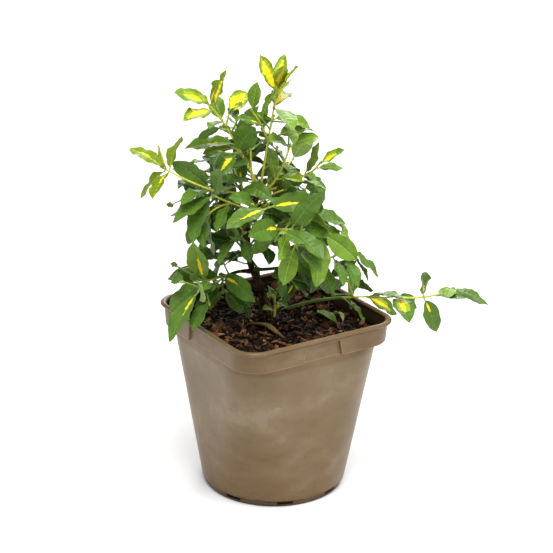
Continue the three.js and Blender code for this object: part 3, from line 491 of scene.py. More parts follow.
def bed_mesh():
    """The whole root ball: its crumbly top, its side down the wall and its underside."""
    edge = turned(outline(SOIL_EDGE, band=1, inset=WALL + BED_GAP))
    around = len(edge)
    points = []
    for ring in range(1, BED_RINGS + 1):
        for x, y in edge[:, :2] * (ring / BED_RINGS):
            broad = noise.noise(Vector((x * 0.22, y * 0.22, 0)))
            fine = noise.noise(Vector((x, y, 7)) * 0.6)
            points.append((x, y, soil_level(x, y) + 0.9 * (broad + 0.5 * fine) - 0.6))
    points += list(turned(outline(BAND_LOW + WALL + 0.5, band=1, inset=WALL + BED_GAP)))
    levels = (BAND_LOW + WALL + 0.3, 140, 100, 60, 30, BED_FLOOR)
    for level in levels:
        points += list(turned(outline(level, inset=WALL + BED_GAP)))
    rings = BED_RINGS + 1 + len(levels)
    faces = [(a, d, c, b) for a, b, c, d in between_rings(rings, around)]
    top, low = len(points), len(points) + 1
    points += [(0, 0, soil_level(0, 0)), (0, 0, BED_FLOOR)]
    last = (rings - 1) * around
    for i in range(around):
        j = (i + 1) % around
        faces += [(i, j, top), (last + j, last + i, low)]
    return points, faces


ground = finish("damp_mulch", [(0.010, 0.006, 0.004), (0.022, 0.013, 0.008), (0.045, 0.025, 0.014)], 0.9,
                patch=260, relief=0.8, grain=700, shine=0.1)
add_piece("mulch_bed", *bed_mesh(), [ground], slot="soil", stands_for=["soil"])

# %% [markdown]
# ### Chips of bark
# A chip is a flat splinter with a ragged outline. Each gets eight points round, pushed in and out,
# and the same again a little smaller on top. They lie nearly flat, later ones on top of earlier
# ones, and the biggest are the fewest.

# %% Dealing out the chips
def chip(draws, length, width, thick):
    """A flat ragged splinter lying on the ground plane: its points and faces."""
    turns = np.linspace(0, 2 * math.pi, 9)[:-1] + draws.uniform(-0.25, 0.25, 8)
    ragged = draws.uniform(0.7, 1.1, 8)
    squared = 1 / np.maximum(abs(np.cos(turns)), abs(np.sin(turns))) ** 0.6
    x = np.cos(turns) * length / 2 * ragged * squared
    y = np.sin(turns) * width / 2 * ragged * squared
    arch = draws.uniform(-0.02, 0.02) * x * x
    low = np.stack([x, y, arch - thick / 2], axis=1)
    high = np.stack([x * 0.9, y * 0.82, arch + thick / 2 * draws.uniform(0.5, 1.3, 8)], axis=1)
    faces = [tuple(range(7, -1, -1)), tuple(range(8, 16))]
    faces += [(i, (i + 1) % 8, 8 + (i + 1) % 8, 8 + i) for i in range(8)]
    return np.concatenate([low, high]), faces


def laid(points, draws, x, y, lift, tilt):
    """A small thing turned any way round, tilted a little and laid at a place on the mulch."""
    yaw, lean, roll = draws.uniform(0, 2 * math.pi), draws.normal(0, tilt), draws.normal(0, tilt)
    for a, b, angle in ((1, 2, roll), (2, 0, lean), (0, 1, yaw)):
        p, q = points[:, a].copy(), points[:, b].copy()
        points[:, a] = p * math.cos(angle) - q * math.sin(angle)
        points[:, b] = p * math.sin(angle) + q * math.cos(angle)
    return points + np.array([x, y, soil_level(x, y) + lift])


def spot_on_mulch(draws, margin):
    """A random place inside the pot, margin mm from its wall."""
    while True:
        x, y = draws.uniform(-RIM_HALF * 1.3, RIM_HALF * 1.3, 2)
        if square_half(x, y, SOIL_HALF - BAND_CORNER + WALL) < SOIL_HALF - margin:
            return x, y


CHIP_COLOURS = {
    "chip_black": (0.007, 0.004, 0.0025),
    "chip_dark": (0.018, 0.010, 0.005),
    "chip_brown": (0.066, 0.031, 0.013),
    "chip_red": (0.170, 0.070, 0.026),
    "chip_tan": (0.35, 0.20, 0.095),
}
CHIP_SHARES = (0.46, 0.27, 0.15, 0.09, 0.03)
BIG_SHARES = (0.33, 0.24, 0.22, 0.18, 0.03)
CHIPS = 3000
chip_finishes = [finish(name, tones(colour, 0.45), 0.75, patch=350, relief=0.5, grain=900, shine=0.07)
                 for name, colour in CHIP_COLOURS.items()]
draws = np.random.default_rng(3)
chips = Heap()
for number in range(CHIPS):
    share = number / CHIPS
    small, large = (2, 5) if share < 0.4 else (4, 10) if share < 0.8 else (8, 19)
    length = draws.uniform(small, large)
    width = length * draws.uniform(0.16, 0.5)
    shape, faces = chip(draws, length, width, draws.uniform(0.8, 2.4))
    x, y = spot_on_mulch(draws, length * 0.5 + 1)
    placed = laid(shape, draws, x, y, draws.uniform(-0.4, 2.4), 0.3)
    chips.add(placed, faces, int(draws.choice(5, p=CHIP_SHARES if share < 0.7 else BIG_SHARES)))
chips.piece("bark_chips", chip_finishes, slot="soil", stands_for=["soil"], crisp=35)

# %% [markdown]
# ## Rods that bend
# Trunk, twigs, leaf stalks, fibres and bud stalks are all the same thing at different sizes: a round
# rod that tapers as it bends. Blender's curves with a bevel would do, but they can't be cracked or
# swollen at the nodes. So a rod is laid out ring by ring, and each ring's frame is carried on from
# the last so that it doesn't twist.

# %% A rod along a row of points
def unit(v):
    return v / np.sqrt((v * v).sum(-1, keepdims=True))


def rod(line, radii, sides, relief=None):
    """A closed rod round a row of points. relief(i, turn) scales the radius at a ring and turn."""
    line = np.asarray(line, float)
    ahead = unit(np.gradient(line, axis=0))
    start = np.array([0.0, 0, 1]) if abs(ahead[0][2]) < 0.8 else np.array([1.0, 0, 0])
    side = unit(start - ahead[0] * (start @ ahead[0]))
    turns = np.linspace(0, 2 * math.pi, sides + 1)[:-1]
    points = []
    for i, (centre, forward, radius) in enumerate(zip(line, ahead, radii)):
        side = unit(side - forward * (side @ forward))
        other = np.cross(forward, side)
        scale = np.array([relief(i, turn) for turn in turns]) if relief else np.ones(sides)
        ring = np.cos(turns)[:, None] * side + np.sin(turns)[:, None] * other
        points.append(centre + ring * (radius * scale)[:, None])
    faces = between_rings(len(line), sides)
    faces += [tuple(range(sides - 1, -1, -1)), tuple((len(line) - 1) * sides + i for i in range(sides))]
    return np.concatenate(points), faces


# %% Straw and fibres on the mulch
straw_finish = finish("dry_straw", tones((0.42, 0.29, 0.13), 0.25), 0.6, patch=200)
fibre_finish = finish("bark_fibre", tones((0.16, 0.085, 0.04), 0.3), 0.7, patch=200)
fibres = Heap()
for number in range(150):
    length, straw = draws.uniform(5, 20), number % 5 == 0
    x, y = spot_on_mulch(draws, length * 0.5 + 2)
    bow = draws.uniform(-0.25, 0.25) * length
    share = np.linspace(-1, 1, 7)
    line = np.stack([share * length / 2, bow * (1 - share ** 2), 0.8 * np.sin(share * 2)], axis=1)
    line = laid(line, draws, x, y, draws.uniform(1.2, 2.6), 0.1)
    fibres.add(*rod(line, np.full(7, draws.uniform(0.18, 0.45)), 5), 0 if straw else 1)
fibres.piece("mulch_fibres", [straw_finish, fibre_finish], slot="soil", stands_for=["soil"])

# %% [markdown]
# ## The wood
# The trunk leans, forks some 50 mm above the mulch and runs on as a leader that was once cut back
# to a swollen knob. Its bark is dark and cracked lengthwise, with lighter streaks where the
# cracks are fresh. The solids hold the course and the taper; here each limb is laid out again on the
# same bend with its cracks and ridges as real relief, and starts inside the limb that carries it.

# %% The limbs' measures, as in the source
CLEAR, KNOB_RADIUS, OVERRUN = 0.3, 3.6, 2
FLARE, FLARE_HEIGHT = 0.55, 7.0
FORK_FLARE, FORK_REACH = 0.35, 3
LIMB_ROOT, LIMB_ROOT_AT_MOST = np.array([[0.1], [0.55]]), 0.97
LIMBS = {
    "trunk": dict(foot=(-4.5, 21.5, 157), via=(-13, 17, 187), to=(-23, 14, 211), radii=(4.3, 3.1)),
    "leader": dict(on="trunk", at=1, via=(-26, 8, 252), to=(-15, 5, 292), radii=(2.8, 2.1)),
    "left_bough": dict(on="trunk", at=0.93, via=(-35, 9, 209), to=(-44, 6, 207), radii=(1.8, 1.3)),
    "right_bough": dict(on="trunk", at=0.96, via=(-5, 7, 213), to=(9, 0, 218), radii=(1.8, 1.3)),
    "second_stem": dict(foot=(-12.5, 25, 157), via=(-14.5, 27.5, 182), to=(-17, 30, 206), radii=(2.1, 1.5)),
    "runner_limb": dict(foot=(2, 33, 158), via=(34, 27, 172), to=(64, 18, 180), radii=(1.7, 1.4)),
}
UP = np.array([0.0, 0, 1])


class Bend:
    """A curve that bends once, through its start, its middle and its end."""

    def __init__(self, start, via, end):
        self.start, self.end = start, end
        self.control = 2 * via - start / 2 - end / 2

    def at(self, t):
        t = np.asarray(t, float)[..., None]
        return (1 - t) ** 2 * self.start + 2 * t * (1 - t) * self.control + t * t * self.end

    def heading(self, t):
        return unit((1 - t) * (self.control - self.start) + t * (self.end - self.control))


def spring_point(limb, at, towards, radius, clearance):
    """Where a rod springs from a limb's side: out from its middle until it is just clear."""
    middle, along = limb["curve"].at(at), limb["curve"].heading(at)
    out = unit(towards - middle)
    slant = abs(along @ out)
    reach = (mix(*limb["radii"], at) + clearance + radius * slant) / math.sqrt(1 - slant * slant)
    return middle + out * reach


def carry_on(limb):
    return limb["curve"].at(1) - limb["curve"].heading(1) * OVERRUN


limbs = {}
for name, row in LIMBS.items():
    via = np.array(row["via"], float)
    if "foot" in row:
        start = np.array(row["foot"], float)
    elif row["at"] == 1:
        start = carry_on(limbs[row["on"]])
    else:
        start = spring_point(limbs[row["on"]], row["at"], via, row["radii"][0], CLEAR + 0.05)
    limbs[name] = dict(row, curve=Bend(start, via, np.array(row["to"], float)))
print("limbs:", ", ".join(limbs))

# %% Bark and green wood
bark = finish("cracked_bark", [(0.010, 0.006, 0.004), (0.026, 0.016, 0.009), (0.052, 0.034, 0.016),
                               (0.26, 0.145, 0.035)], 0.8, patch=300, stretch=(1, 1, 0.12), relief=0.5,
              grain=1200, contrast=0.5, shine=0.12)
fresh_crack = finish("fresh_crack", [(0.16, 0.085, 0.022), (0.34, 0.20, 0.045)], 0.7, patch=500,
                     stretch=(1, 1, 0.2), relief=0.3, grain=1200, shine=0.15)
knob_bark = finish("red_bud_bark", [(0.035, 0.014, 0.008), (0.11, 0.035, 0.016), (0.19, 0.075, 0.03)],
                   0.6, patch=420, relief=0.5, grain=1300, contrast=0.4)
green_bark = finish("green_wood", [(0.085, 0.165, 0.024), (0.14, 0.24, 0.036), (0.26, 0.34, 0.05)], 0.55,
                    patch=160, stretch=(1, 1, 0.4), relief=0.25, grain=1500, shine=0.2)
shaded_bark = finish("shaded_green_wood", [(0.020, 0.034, 0.010), (0.040, 0.070, 0.016),
                                           (0.07, 0.10, 0.02)], 0.6, patch=160, stretch=(1, 1, 0.4),
                     relief=0.25, grain=1500, shine=0.15)


# %% Cracks and fresh streaks
def crack_relief(line, depth, ridges):
    """Lengthwise cracks: a noise that changes fast round the limb and slowly along it."""
    def relief(i, turn):
        height = line[i][2]
        place = Vector((math.cos(turn) * ridges, math.sin(turn) * ridges, height * 0.10))
        fine = Vector((math.cos(turn) * ridges * 3, math.sin(turn) * ridges * 3, height * 0.45 + 9))
        return 1 + depth * (noise.noise(place) + 0.5 * noise.noise(fine))
    return relief


def streaks(shape, sides):
    """1 for a face in a fresh golden crack, else 0: thin, long and a few to a limb."""
    points, faces = shape
    marks = []
    for face in faces:
        turn = 2 * math.pi * (min(face) % sides) / sides
        height = points[min(face)][2]
        place = Vector((math.cos(turn) * 3.2, math.sin(turn) * 3.2, height * 0.05 + 3))
        marks.append(int(len(face) == 4 and noise.noise(place) > 0.36))
    return marks


# %% The limbs
def limb_line(limb, steps):
    """The limb's own bend, led on from inside the limb that carries it or from under the mulch."""
    line = limb["curve"].at(np.linspace(0, 1, steps))
    if "foot" in limb:
        return np.concatenate([[line[0] - [0, 0, 2.0]], line])
    carrier = limbs[limb["on"]]["curve"].at(min(limb["at"], LIMB_ROOT_AT_MOST))
    return np.concatenate([carrier + (line[0] - carrier) * LIMB_ROOT, line])


def limb_radii(name, limb, line, steps):
    """The limb's taper, with the flare of a stem at the ground or of a bough at its fork."""
    t = np.clip((np.arange(len(line)) - (len(line) - steps)) / (steps - 1), 0, 1)
    along = t * np.linalg.norm(np.diff(line, axis=0), axis=1).sum()
    radii = mix(*limb["radii"], t)
    if name in ("trunk", "second_stem"):
        return radii * (1 + FLARE * np.exp(-along / FLARE_HEIGHT))
    if name in ("left_bough", "right_bough"):
        return radii * (1 + FORK_FLARE * np.exp(-along / FORK_REACH))
    return radii


GREEN_LIMBS = {"second_stem": shaded_bark, "right_bough": shaded_bark, "runner_limb": green_bark}
BARK_SIDES, GREEN_SIDES = 40, 20
for name, limb in limbs.items():
    steps = 90 if name in ("trunk", "leader") else 60
    line = limb_line(limb, steps)
    radii = limb_radii(name, limb, line, steps)
    if name in GREEN_LIMBS:
        shape = rod(line, radii, GREEN_SIDES, crack_relief(line, 0.07, 2.2))
        add_piece(name + "_green", *shape, [GREEN_LIMBS[name]], slot="greenwood", stands_for=[name])
    else:
        shape = rod(line, radii, BARK_SIDES, crack_relief(line, 0.22, 2.2))
        add_piece(name + "_bark", *shape, [bark, fresh_crack], streaks(shape, BARK_SIDES), slot="bark",
                  stands_for=[name])

# %% [markdown]
# ### The knob
# Where the leader was cut back, the new shoots crowd round a swollen reddish knob, with the scales
# of old buds still on it. It is a rough ball with a few pointed scales pressed against it.

# %% The knob and its bud scales
def ball(centre, radius, rings=14, around=20, shape=None):
    """A closed ball of points. shape(direction) scales the radius in a direction."""
    ways = [UP]
    for ring in range(1, rings):
        a = math.pi * ring / rings
        for i in range(around):
            b = 2 * math.pi * i / around
            ways.append(np.array([math.sin(a) * math.cos(b), math.sin(a) * math.sin(b), math.cos(a)]))
    ways.append(-UP)
    points = [np.array(centre) + radius * way * (shape(way) if shape else 1) for way in ways]
    faces = [(0, 1 + i, 1 + (i + 1) % around) for i in range(around)]
    faces += [(1 + a, 1 + d, 1 + c, 1 + b) for a, b, c, d in between_rings(rings - 1, around)]
    end = len(points) - 1
    faces += [(end, end - around + (i + 1) % around, end - around + i) for i in range(around)]
    return np.array(points), faces


def lumpy(way):
    return 0.95 + 0.16 * noise.noise(Vector(way * 1.6)) + 0.08 * noise.noise(Vector(way * 5))


knob_at = limbs["leader"]["curve"].at(1)
KNOB_SCALES, SPIRAL = 9, 2.4
knob = Heap()
knob.add(*ball(knob_at, KNOB_RADIUS, 22, 30, lumpy))
for scale in range(KNOB_SCALES):
    a, rise = scale * SPIRAL, 0.25 + 0.5 * ((scale * 0.618) % 1)
    way = unit(np.array([math.cos(a), math.sin(a), rise]))
    line = knob_at + np.outer([0.5, 0.85, 1.1, 1.3], way) * KNOB_RADIUS + np.outer([0, 0, 0.3, 0.9], UP)
    knob.add(*rod(line, [1.1, 1.2, 0.75, 0.12], 8))
knob.piece("leader_knob", [knob_bark], slot="bark", stands_for=["leader"])

# %% [markdown]
# ## How the plant grows
# Wintercreeper carries its leaves in pairs, and every pair stands a quarter turn from the last. The
# rule is the one that the solids were grown by: each twig has a start, a bend and an end, and for
# each pair a seed sets how wide the leaves open, how long and wide they are, how they droop, fold
# and twist. A leaf that has dropped off, or would touch one that is there already, is left out.

# %% The twigs, as in the source
LEAF_STEPS, ROLL_JITTER, OPEN_JITTER, TWIST_JITTER = 8, 24, 16, 32
TWIG_RADII = (1.4, 1.0)
LEAF_GAP, MATE_GAP, TWIG_GAP, OWN_GAP, LIMB_GAP, NEAR = 2.3, 1.2, 2.7, 1.6, 2.0, 60
HABITS = {
    "rosette": dict(open=(52, 26), droop=(0.15, 0.1)),
    "spray": dict(open=(66, 52), droop=(0.45, 0.4)),
    "hanging": dict(open=(38, 38), droop=(0.85, 0.85)),
    "loose": dict(open=(84, 64), droop=(0.85, 0.5)),
}
TWIGS = {
    "uright": dict(mass="upper_right_shoot", on="leader", at=0.9, to=(12, 2, 335), arch=-9, first=0.45,
                   leaf=(34, 36), habit="spray", front=True, turn=130, seeds=(8324, 16930)),
    "top": dict(mass="top_shoot", on="leader", at=1, to=(-3, 2, 372), arch=2, first=0.84, leaf=(40, 44),
                habit="loose", front=True, turn=0, seeds=(19692, 7722)),
    "top_tip": dict(mass="top_shoot", on="top", at=1, to=(0, 0, 390), arch=0, first=0.5, leaf=(36, 35),
                    habit="rosette", front=True, turn=90, seeds=(18560, 7718, 3399)),
    "tl": dict(mass="top_left_shoot", on="leader", at=1, to=(-50, -4, 361), arch=2, first=0.62,
               leaf=(40, 36), habit="spray", front=True, turn=170, seeds=(11345, 16368)),
    "tl_in": dict(mass="top_left_shoot", on="tl", at=0.9, to=(-44, 0, 366), arch=0, first=0.9,
                  leaf=(36, 30), habit="spray", front=True, turn=90, seeds=(9889,)),
    "tl_back": dict(mass="top_left_shoot", on="tl", at=0.4, to=(-38, 10, 330), arch=0, first=0.9,
                    leaf=(34, 30), habit="spray", turn=80, seeds=(14085,)),
    "tl_tip": dict(mass="top_left_shoot", on="tl", at=1, to=(-63, -6, 378), arch=0, first=0.6,
                   leaf=(34, 31), habit="rosette", front=True, turn=30, seeds=(12440, 8023, 8846),
                   lost=(5,)),
    "left": dict(mass="left_shoot", on="leader", at=0.93, to=(-61, -20, 300), arch=0, first=0.36,
                 leaf=(42, 44), habit="loose", front=True, turn=110, seeds=(15457, 11348)),
    "left_in": dict(mass="left_shoot", on="left", at=0.72, to=(-60, -13, 297), arch=0, first=0.9,
                    leaf=(36, 34), habit="loose", front=True, turn=90, seeds=(12120,)),
    "left_tip": dict(mass="left_shoot", on="left", at=1, to=(-103, -20, 320), arch=-1, first=0.88,
                     leaf=(40, 38), habit="spray", front=True, turn=70, seeds=(20084, 19235, 3613),
                     lost=(4,)),
    "right": dict(mass="right_shoot", on="leader", at=1, to=(27, 24, 301), arch=-4, first=0.3,
                  leaf=(34, 34), habit="spray", turn=30, seeds=(17367, 4871, 8948)),
    "right_tip": dict(mass="right_shoot", on="right", at=1, to=(40, 18, 314), arch=-2, first=0.75,
                      leaf=(27, 26), habit="rosette", front=True, turn=70, seeds=(12782, 19764)),
    "fright": dict(mass="front_right_shoot", on="leader", at=0.47, to=(14, -56, 275), arch=1,
                   first=0.75, leaf=(45, 46), habit="spray", turn=90, seeds=(15579, 19930)),
    "fright_low": dict(mass="front_right_shoot", on="fright", at=0.74, to=(18, -56, 260), arch=3,
                       first=0.5, leaf=(38, 40), habit="hanging", turn=80, seeds=(21738, 7218)),
    "fleft": dict(mass="front_left_shoot", on="leader", at=0.67, to=(-7, -46, 292), arch=0, first=0.55,
                  leaf=(43, 46), habit="spray", turn=30, seeds=(12270, 4869)),
    "rmid": dict(mass="right_mid_shoot", on="leader", at=0.44, to=(26, -6, 269), arch=-2, first=0.5,
                 leaf=(38, 38), habit="spray", turn=130, seeds=(15066, 11476)),
    "rmid_tip": dict(mass="right_mid_shoot", on="rmid", at=1, to=(43, -22, 258), arch=3, first=0.4,
                     leaf=(40, 42), habit="spray", turn=40, seeds=(2953, 20295)),
    "lmid": dict(mass="left_mid_shoot", on="leader", at=0.74, to=(-56, -32, 298), arch=-1, first=0.6,
                 leaf=(42, 42), habit="spray", turn=50, seeds=(1969, 1051)),
    "lmid_low": dict(mass="left_mid_shoot", on="lmid", at=0.54, to=(-67, -30, 275), arch=3, first=0.9,
                     leaf=(32, 30), habit="hanging", front=True, turn=100, seeds=(7071,)),
    "lcen": dict(mass="left_centre_shoot", on="leader", at=0.33, to=(-37, -24, 255), arch=1, first=0.3,
                 leaf=(34, 36), habit="spray", turn=60, seeds=(1969, 17053)),
    "llow": dict(mass="left_low_shoot", on="left_bough", at=1, to=(-66, -24, 211), arch=0, first=0.35,
                 leaf=(42, 38), habit="spray", front=True, turn=70, seeds=(1243, 4565)),
    "llow_rim": dict(mass="left_low_shoot", on="llow", at=0.83, to=(-70, -46, 211), arch=2, first=0.95,
                     leaf=(52, 50), habit="hanging", turn=130, seeds=(14080,)),
    "llow_in": dict(mass="left_low_shoot", on="llow", at=0.3, to=(-49, -12, 198), arch=1, first=0.95,
                    leaf=(28, 26), habit="hanging", turn=150, seeds=(17878,)),
    "lright": dict(mass="lower_right_shoot", on="right_bough", at=1, to=(54, -14, 234), arch=-1,
                   first=0.3, leaf=(34, 36), habit="spray", turn=90, seeds=(6703, 9974, 14635),
                   lost=(4,)),
    "lright_tip": dict(mass="lower_right_shoot", on="lright", at=1, to=(71, -18, 242), arch=1,
                       first=0.5, leaf=(36, 40), habit="spray", turn=140, seeds=(11350, 17636),
                       lost=(3,)),
    "lright_in": dict(mass="lower_right_shoot", on="lright", at=0.09, to=(8, -20, 217), arch=2,
                      first=0.9, leaf=(24, 22), habit="hanging", turn=20, seeds=(8486,)),
    "run": dict(mass="runner_shoot", on="runner_limb", at=1, to=(87, 20, 181), arch=0, first=0.3,
                leaf=(36, 38), habit="spray", front=True, turn=130, seeds=(4579, 672)),
    "run_mid": dict(mass="runner_shoot", on="run", at=1, to=(115, 14, 183.5), arch=-1, first=0.9,
                    leaf=(37, 37), habit="spray", front=True, turn=80, seeds=(1760,)),
    "run_tip": dict(mass="runner_shoot", on="run_mid", at=1, to=(160, 8, 190.5), arch=-3, first=0.58,
                    leaf=(38, 42), habit="spray", front=True, turn=0, seeds=(17361, 88, 19897),
                    lost=(5,)),
    "run_base": dict(mass="runner_shoot", on="run", at=0.5, to=(68, 10, 202), arch=0, first=0.95,
                     leaf=(26, 24), habit="spray", turn=60, seeds=(4484,)),
    "run_end": dict(mass="runner_shoot", on="run_tip", at=0.98, to=(167, 2, 197.5), arch=1, first=0.9,
                    leaf=(36, 30), habit="spray", front=True, turn=60, seeds=(9653,)),
    "basal": dict(mass="basal_shoot", foot=(-0.5, 10, 160.6), to=(0, 8, 186), arch=-1, first=0.35,
                  leaf=(20, 16), habit="spray", turn=50, seeds=(3440, 12346, 9233)),
    "tl_low": dict(mass="top_left_shoot", on="tl", at=0.47, to=(-36, -13, 333), arch=0, first=0.95,
                   leaf=(37, 37), habit="loose", front=True, turn=160, seeds=(13073,)),
    "top_side": dict(mass="top_shoot", on="top", at=0.56, to=(-23, -12, 373), arch=2, first=0.9,
                     leaf=(32, 30), habit="rosette", front=True, turn=0, seeds=(7218,)),
    "lowc": dict(mass="low_centre_shoot", on="leader", at=0.3, to=(-9, -9, 242), arch=0, first=0.9,
                 leaf=(26, 24), habit="hanging", front=True, turn=130, seeds=(2318,)),
    "intop": dict(mass="inner_top_shoot", on="leader", at=0.9, to=(-24, -9, 334), arch=-10, first=0.5,
                  leaf=(34, 32), habit="spray", turn=30, seeds=(19930, 10415)),
    "inl": dict(mass="inner_left_shoot", on="leader", at=0.8, to=(-40, 4, 314), arch=-3, first=0.5,
                leaf=(36, 34), habit="spray", turn=60, seeds=(4210, 8153)),
    "inl_low": dict(mass="inner_left_shoot", on="inl", at=0.38, to=(-56, 2, 284), arch=-3, first=0.4,
                    leaf=(34, 34), habit="spray", turn=0, seeds=(19369, 12260)),
    "inr": dict(mass="inner_right_shoot", on="leader", at=0.7, to=(17, 18, 286), arch=1, first=0.5,
                leaf=(36, 34), habit="spray", turn=40, seeds=(9349, 9536)),
    "inr_low": dict(mass="inner_right_shoot", on="inr", at=0.33, to=(21, 20, 265), arch=-3, first=0.4,
                    leaf=(34, 34), habit="spray", turn=0, seeds=(2654, 19564)),
    "inlow": dict(mass="inner_low_shoot", on="leader", at=0.33, to=(-47, 24, 243), arch=3, first=0.4,
                  leaf=(34, 34), habit="spray", turn=0, seeds=(17213, 9828)),
    "inlow_side": dict(mass="inner_low_shoot", on="inlow", at=0.41, to=(-49, 8, 225), arch=-3,
                       first=0.9, leaf=(30, 30), habit="hanging", turn=0, seeds=(6817,)),
    "btop": dict(mass="back_top_shoot", on="leader", at=0.92, to=(-31, 54, 333), arch=-4, first=0.3,
                 leaf=(40, 32), habit="spray", turn=110, seeds=(16008, 21872, 12302, 7005)),
    "bright": dict(mass="back_right_shoot", on="leader", at=0.84, to=(15, 76, 299), arch=1, first=0.3,
                   leaf=(42, 36), habit="spray", turn=110, seeds=(4682, 6944, 9197, 13602)),
    "bright_side": dict(mass="back_right_shoot", on="bright", at=0.36, to=(26, 40, 281), arch=6,
                        first=0.5, leaf=(38, 36), habit="spray", turn=60, seeds=(19940, 21783)),
    "bleft": dict(mass="back_left_shoot", on="leader", at=0.79, to=(-58, 68, 301), arch=1, first=0.3,
                  leaf=(42, 36), habit="spray", turn=10, seeds=(17186, 8409, 1795, 4737)),
    "bleft_side": dict(mass="back_left_shoot", on="bleft", at=0.39, to=(-68, 30, 293), arch=-4,
                       first=0.5, leaf=(38, 36), habit="spray", turn=0, seeds=(16697, 1949)),
    "blow": dict(mass="back_low_shoot", on="leader", at=0.37, to=(-8, 88, 260), arch=1, first=0.25,
                 leaf=(42, 38), habit="spray", turn=50, seeds=(9113, 16700, 6900, 4656)),
    "blowleft": dict(mass="back_low_left_shoot", on="second_stem", at=1, to=(-66, 64, 246), arch=5,
                     first=0.25, leaf=(40, 38), habit="spray", turn=0,
                     seeds=(6920, 18128, 10682, 9898)),
    "blowright": dict(mass="back_low_right_shoot", on="leader", at=0.2, to=(40, 62, 251), arch=1,
                      first=0.25, leaf=(40, 38), habit="spray", turn=60,
                      seeds=(17427, 2466, 21818, 12324)),
    "mid": dict(mass="middle_shoot", on="leader", at=0.76, to=(7, -16, 299), arch=2, first=0.5,
                leaf=(36, 34), habit="spray", turn=140, seeds=(8420, 2014)),
}

# %% [markdown]
# The course of every twig comes first, because the twigs are there before the leaves and a leaf
# keeps clear of all of them.

# %% Laying the twigs
def bend_through(start, row):
    """Where a twig bends: halfway from a start to its end, lifted by its arch."""
    return (start + np.array(row["to"], float)) / 2 + UP * row["arch"]


def twig_start(row):
    """Where a mass's stem starts: clear of the side, the tip or the knob of the limb that carries it."""
    limb = limbs[row["on"]]
    middle = limb["curve"].at(row["at"])
    if row["at"] < 1:
        return spring_point(limb, row["at"], bend_through(middle, row), TWIG_RADII[0], CLEAR + 0.05)
    if row["on"] != "leader":
        return carry_on(limb)
    return middle + unit(bend_through(middle, row) - middle) * (KNOB_RADIUS + CLEAR + 0.05)


def course(curve):
    """Points along a bend, about 3 mm apart, that leaves keep clear of."""
    steps = math.ceil(np.linalg.norm(curve.end - curve.start) / 3) + 1
    return curve.at(np.linspace(0, 1, steps + 1))


for limb in limbs.values():
    limb["points"] = course(limb["curve"])
twigs = {}
for name, row in TWIGS.items():
    if "foot" in row:
        start = np.array(row["foot"], float)
    elif row["on"] in twigs:
        start = twigs[row["on"]]["curve"].at(row["at"])
    else:
        start = twig_start(row)
    curve = Bend(start, bend_through(start, row), np.array(row["to"], float))
    twigs[name] = dict(row, name=name, curve=curve, points=course(curve), **HABITS[row["habit"]])
print("twigs:", len(twigs))

# %% One leaf by the rule
def draws_from(seed):
    """A repeatable row of draws."""
    state = [seed]

    def draw(low=0.0, high=1.0):
        state[0] = (1664525 * state[0] + 1013904223) % 4294967296
        return low + (high - low) * (state[0] / 4294967296)
    return draw


def grow_leaf(twig, share, at, roll, draw):
    """The measures of one leaf: where its stalk springs, its heading, and its blade's size and set."""
    root, forward = twig["curve"].at(at), twig["curve"].heading(at)
    across = UP if abs(forward[2]) < 0.8 else np.array([1.0, 0, 0])
    normal = unit(across - forward * (across @ forward))
    binormal = np.cross(forward, normal)
    turn = math.radians(roll + draw(-ROLL_JITTER, ROLL_JITTER))
    opening = math.radians(mix(*twig["open"], share) + draw(-OPEN_JITTER, OPEN_JITTER))
    length = mix(*twig["leaf"], share) * draw(0.86, 1.12)
    twist = math.radians(draw(-TWIST_JITTER, TWIST_JITTER))
    droop = mix(*twig["droop"], share) * draw(0.5, 1.4)
    width = length * draw(0.22, 0.31)
    fold, wave, phase = draw(0.12, 0.4), draw(0.01, 0.045) * length, draw(0, 6.2832)
    shade, mark = draw(), draw()
    outward = normal * math.cos(turn) + binormal * math.sin(turn)
    axis = unit(forward * math.cos(opening) + outward * math.sin(opening))
    lean = np.array([root[0] + 8, root[1] - 10, 0])
    lean = np.array([0.0, -1, 0]) if twig.get("front") else lean / max(1, np.linalg.norm(lean))
    face = (forward * math.sin(opening) - outward * math.cos(opening)) * 0.6 + UP * 0.9 + lean * 0.6
    face = unit(face - axis * (face @ axis))
    face = face * math.cos(twist) + np.cross(axis, face) * math.sin(twist)
    return dict(root=root, axis=axis, base=root + axis * (length * 0.1 + 1), face=face, length=length,
                width=width, droop=droop, fold=fold, wave=wave, phase=phase, shade=shade, mark=mark)


def headings(leaf, t):
    """Which way the midrib runs, from 0 at the blade's base to 1 at its tip."""
    return unit(leaf["axis"] - np.multiply.outer(leaf["droop"] * np.asarray(t, float), UP))


def midrib(leaf, steps):
    """The midrib in a number of even steps. The source takes eight, a finished leaf takes more."""
    ways = headings(leaf, (np.arange(steps) + 0.5) / steps)
    course_so_far = np.cumsum(ways * leaf["length"] / steps, axis=0)
    return leaf["base"] + np.concatenate([np.zeros((1, 3)), course_so_far])


def leaf_profile(t):
    """How wide a leaf is along its midrib, 1 at its widest."""
    base, tip = 0.85, 1.0
    widest = base / (base + tip)
    return t ** base * (1 - t) ** tip / (widest ** base * (1 - widest) ** tip)


def blade_points(leaf, line, t, u, rise=0.0, outline=leaf_profile):
    """Points of the upper face: t along the midrib line, u across it from -1 to 1, in matching arrays."""
    steps = len(line) - 1
    step = np.minimum(np.floor(t * steps + 1e-9).astype(int), steps - 1)
    share = (t * steps - step)[..., None]
    point = line[step] * (1 - share) + line[step + 1] * share
    way = headings(leaf, t)
    face = unit(leaf["face"] - way * (way @ leaf["face"])[..., None])
    side = np.cross(way, face)
    profile = outline(t)
    ripple = np.sin(9.42 * t + leaf["phase"] + 0.9 * (u > 0)) * u * u * profile
    lift = leaf["width"] * profile * leaf["fold"] * abs(u) + leaf["wave"] * ripple + rise
    return point + side * (leaf["width"] * profile * u)[..., None] + face * np.asarray(lift)[..., None]


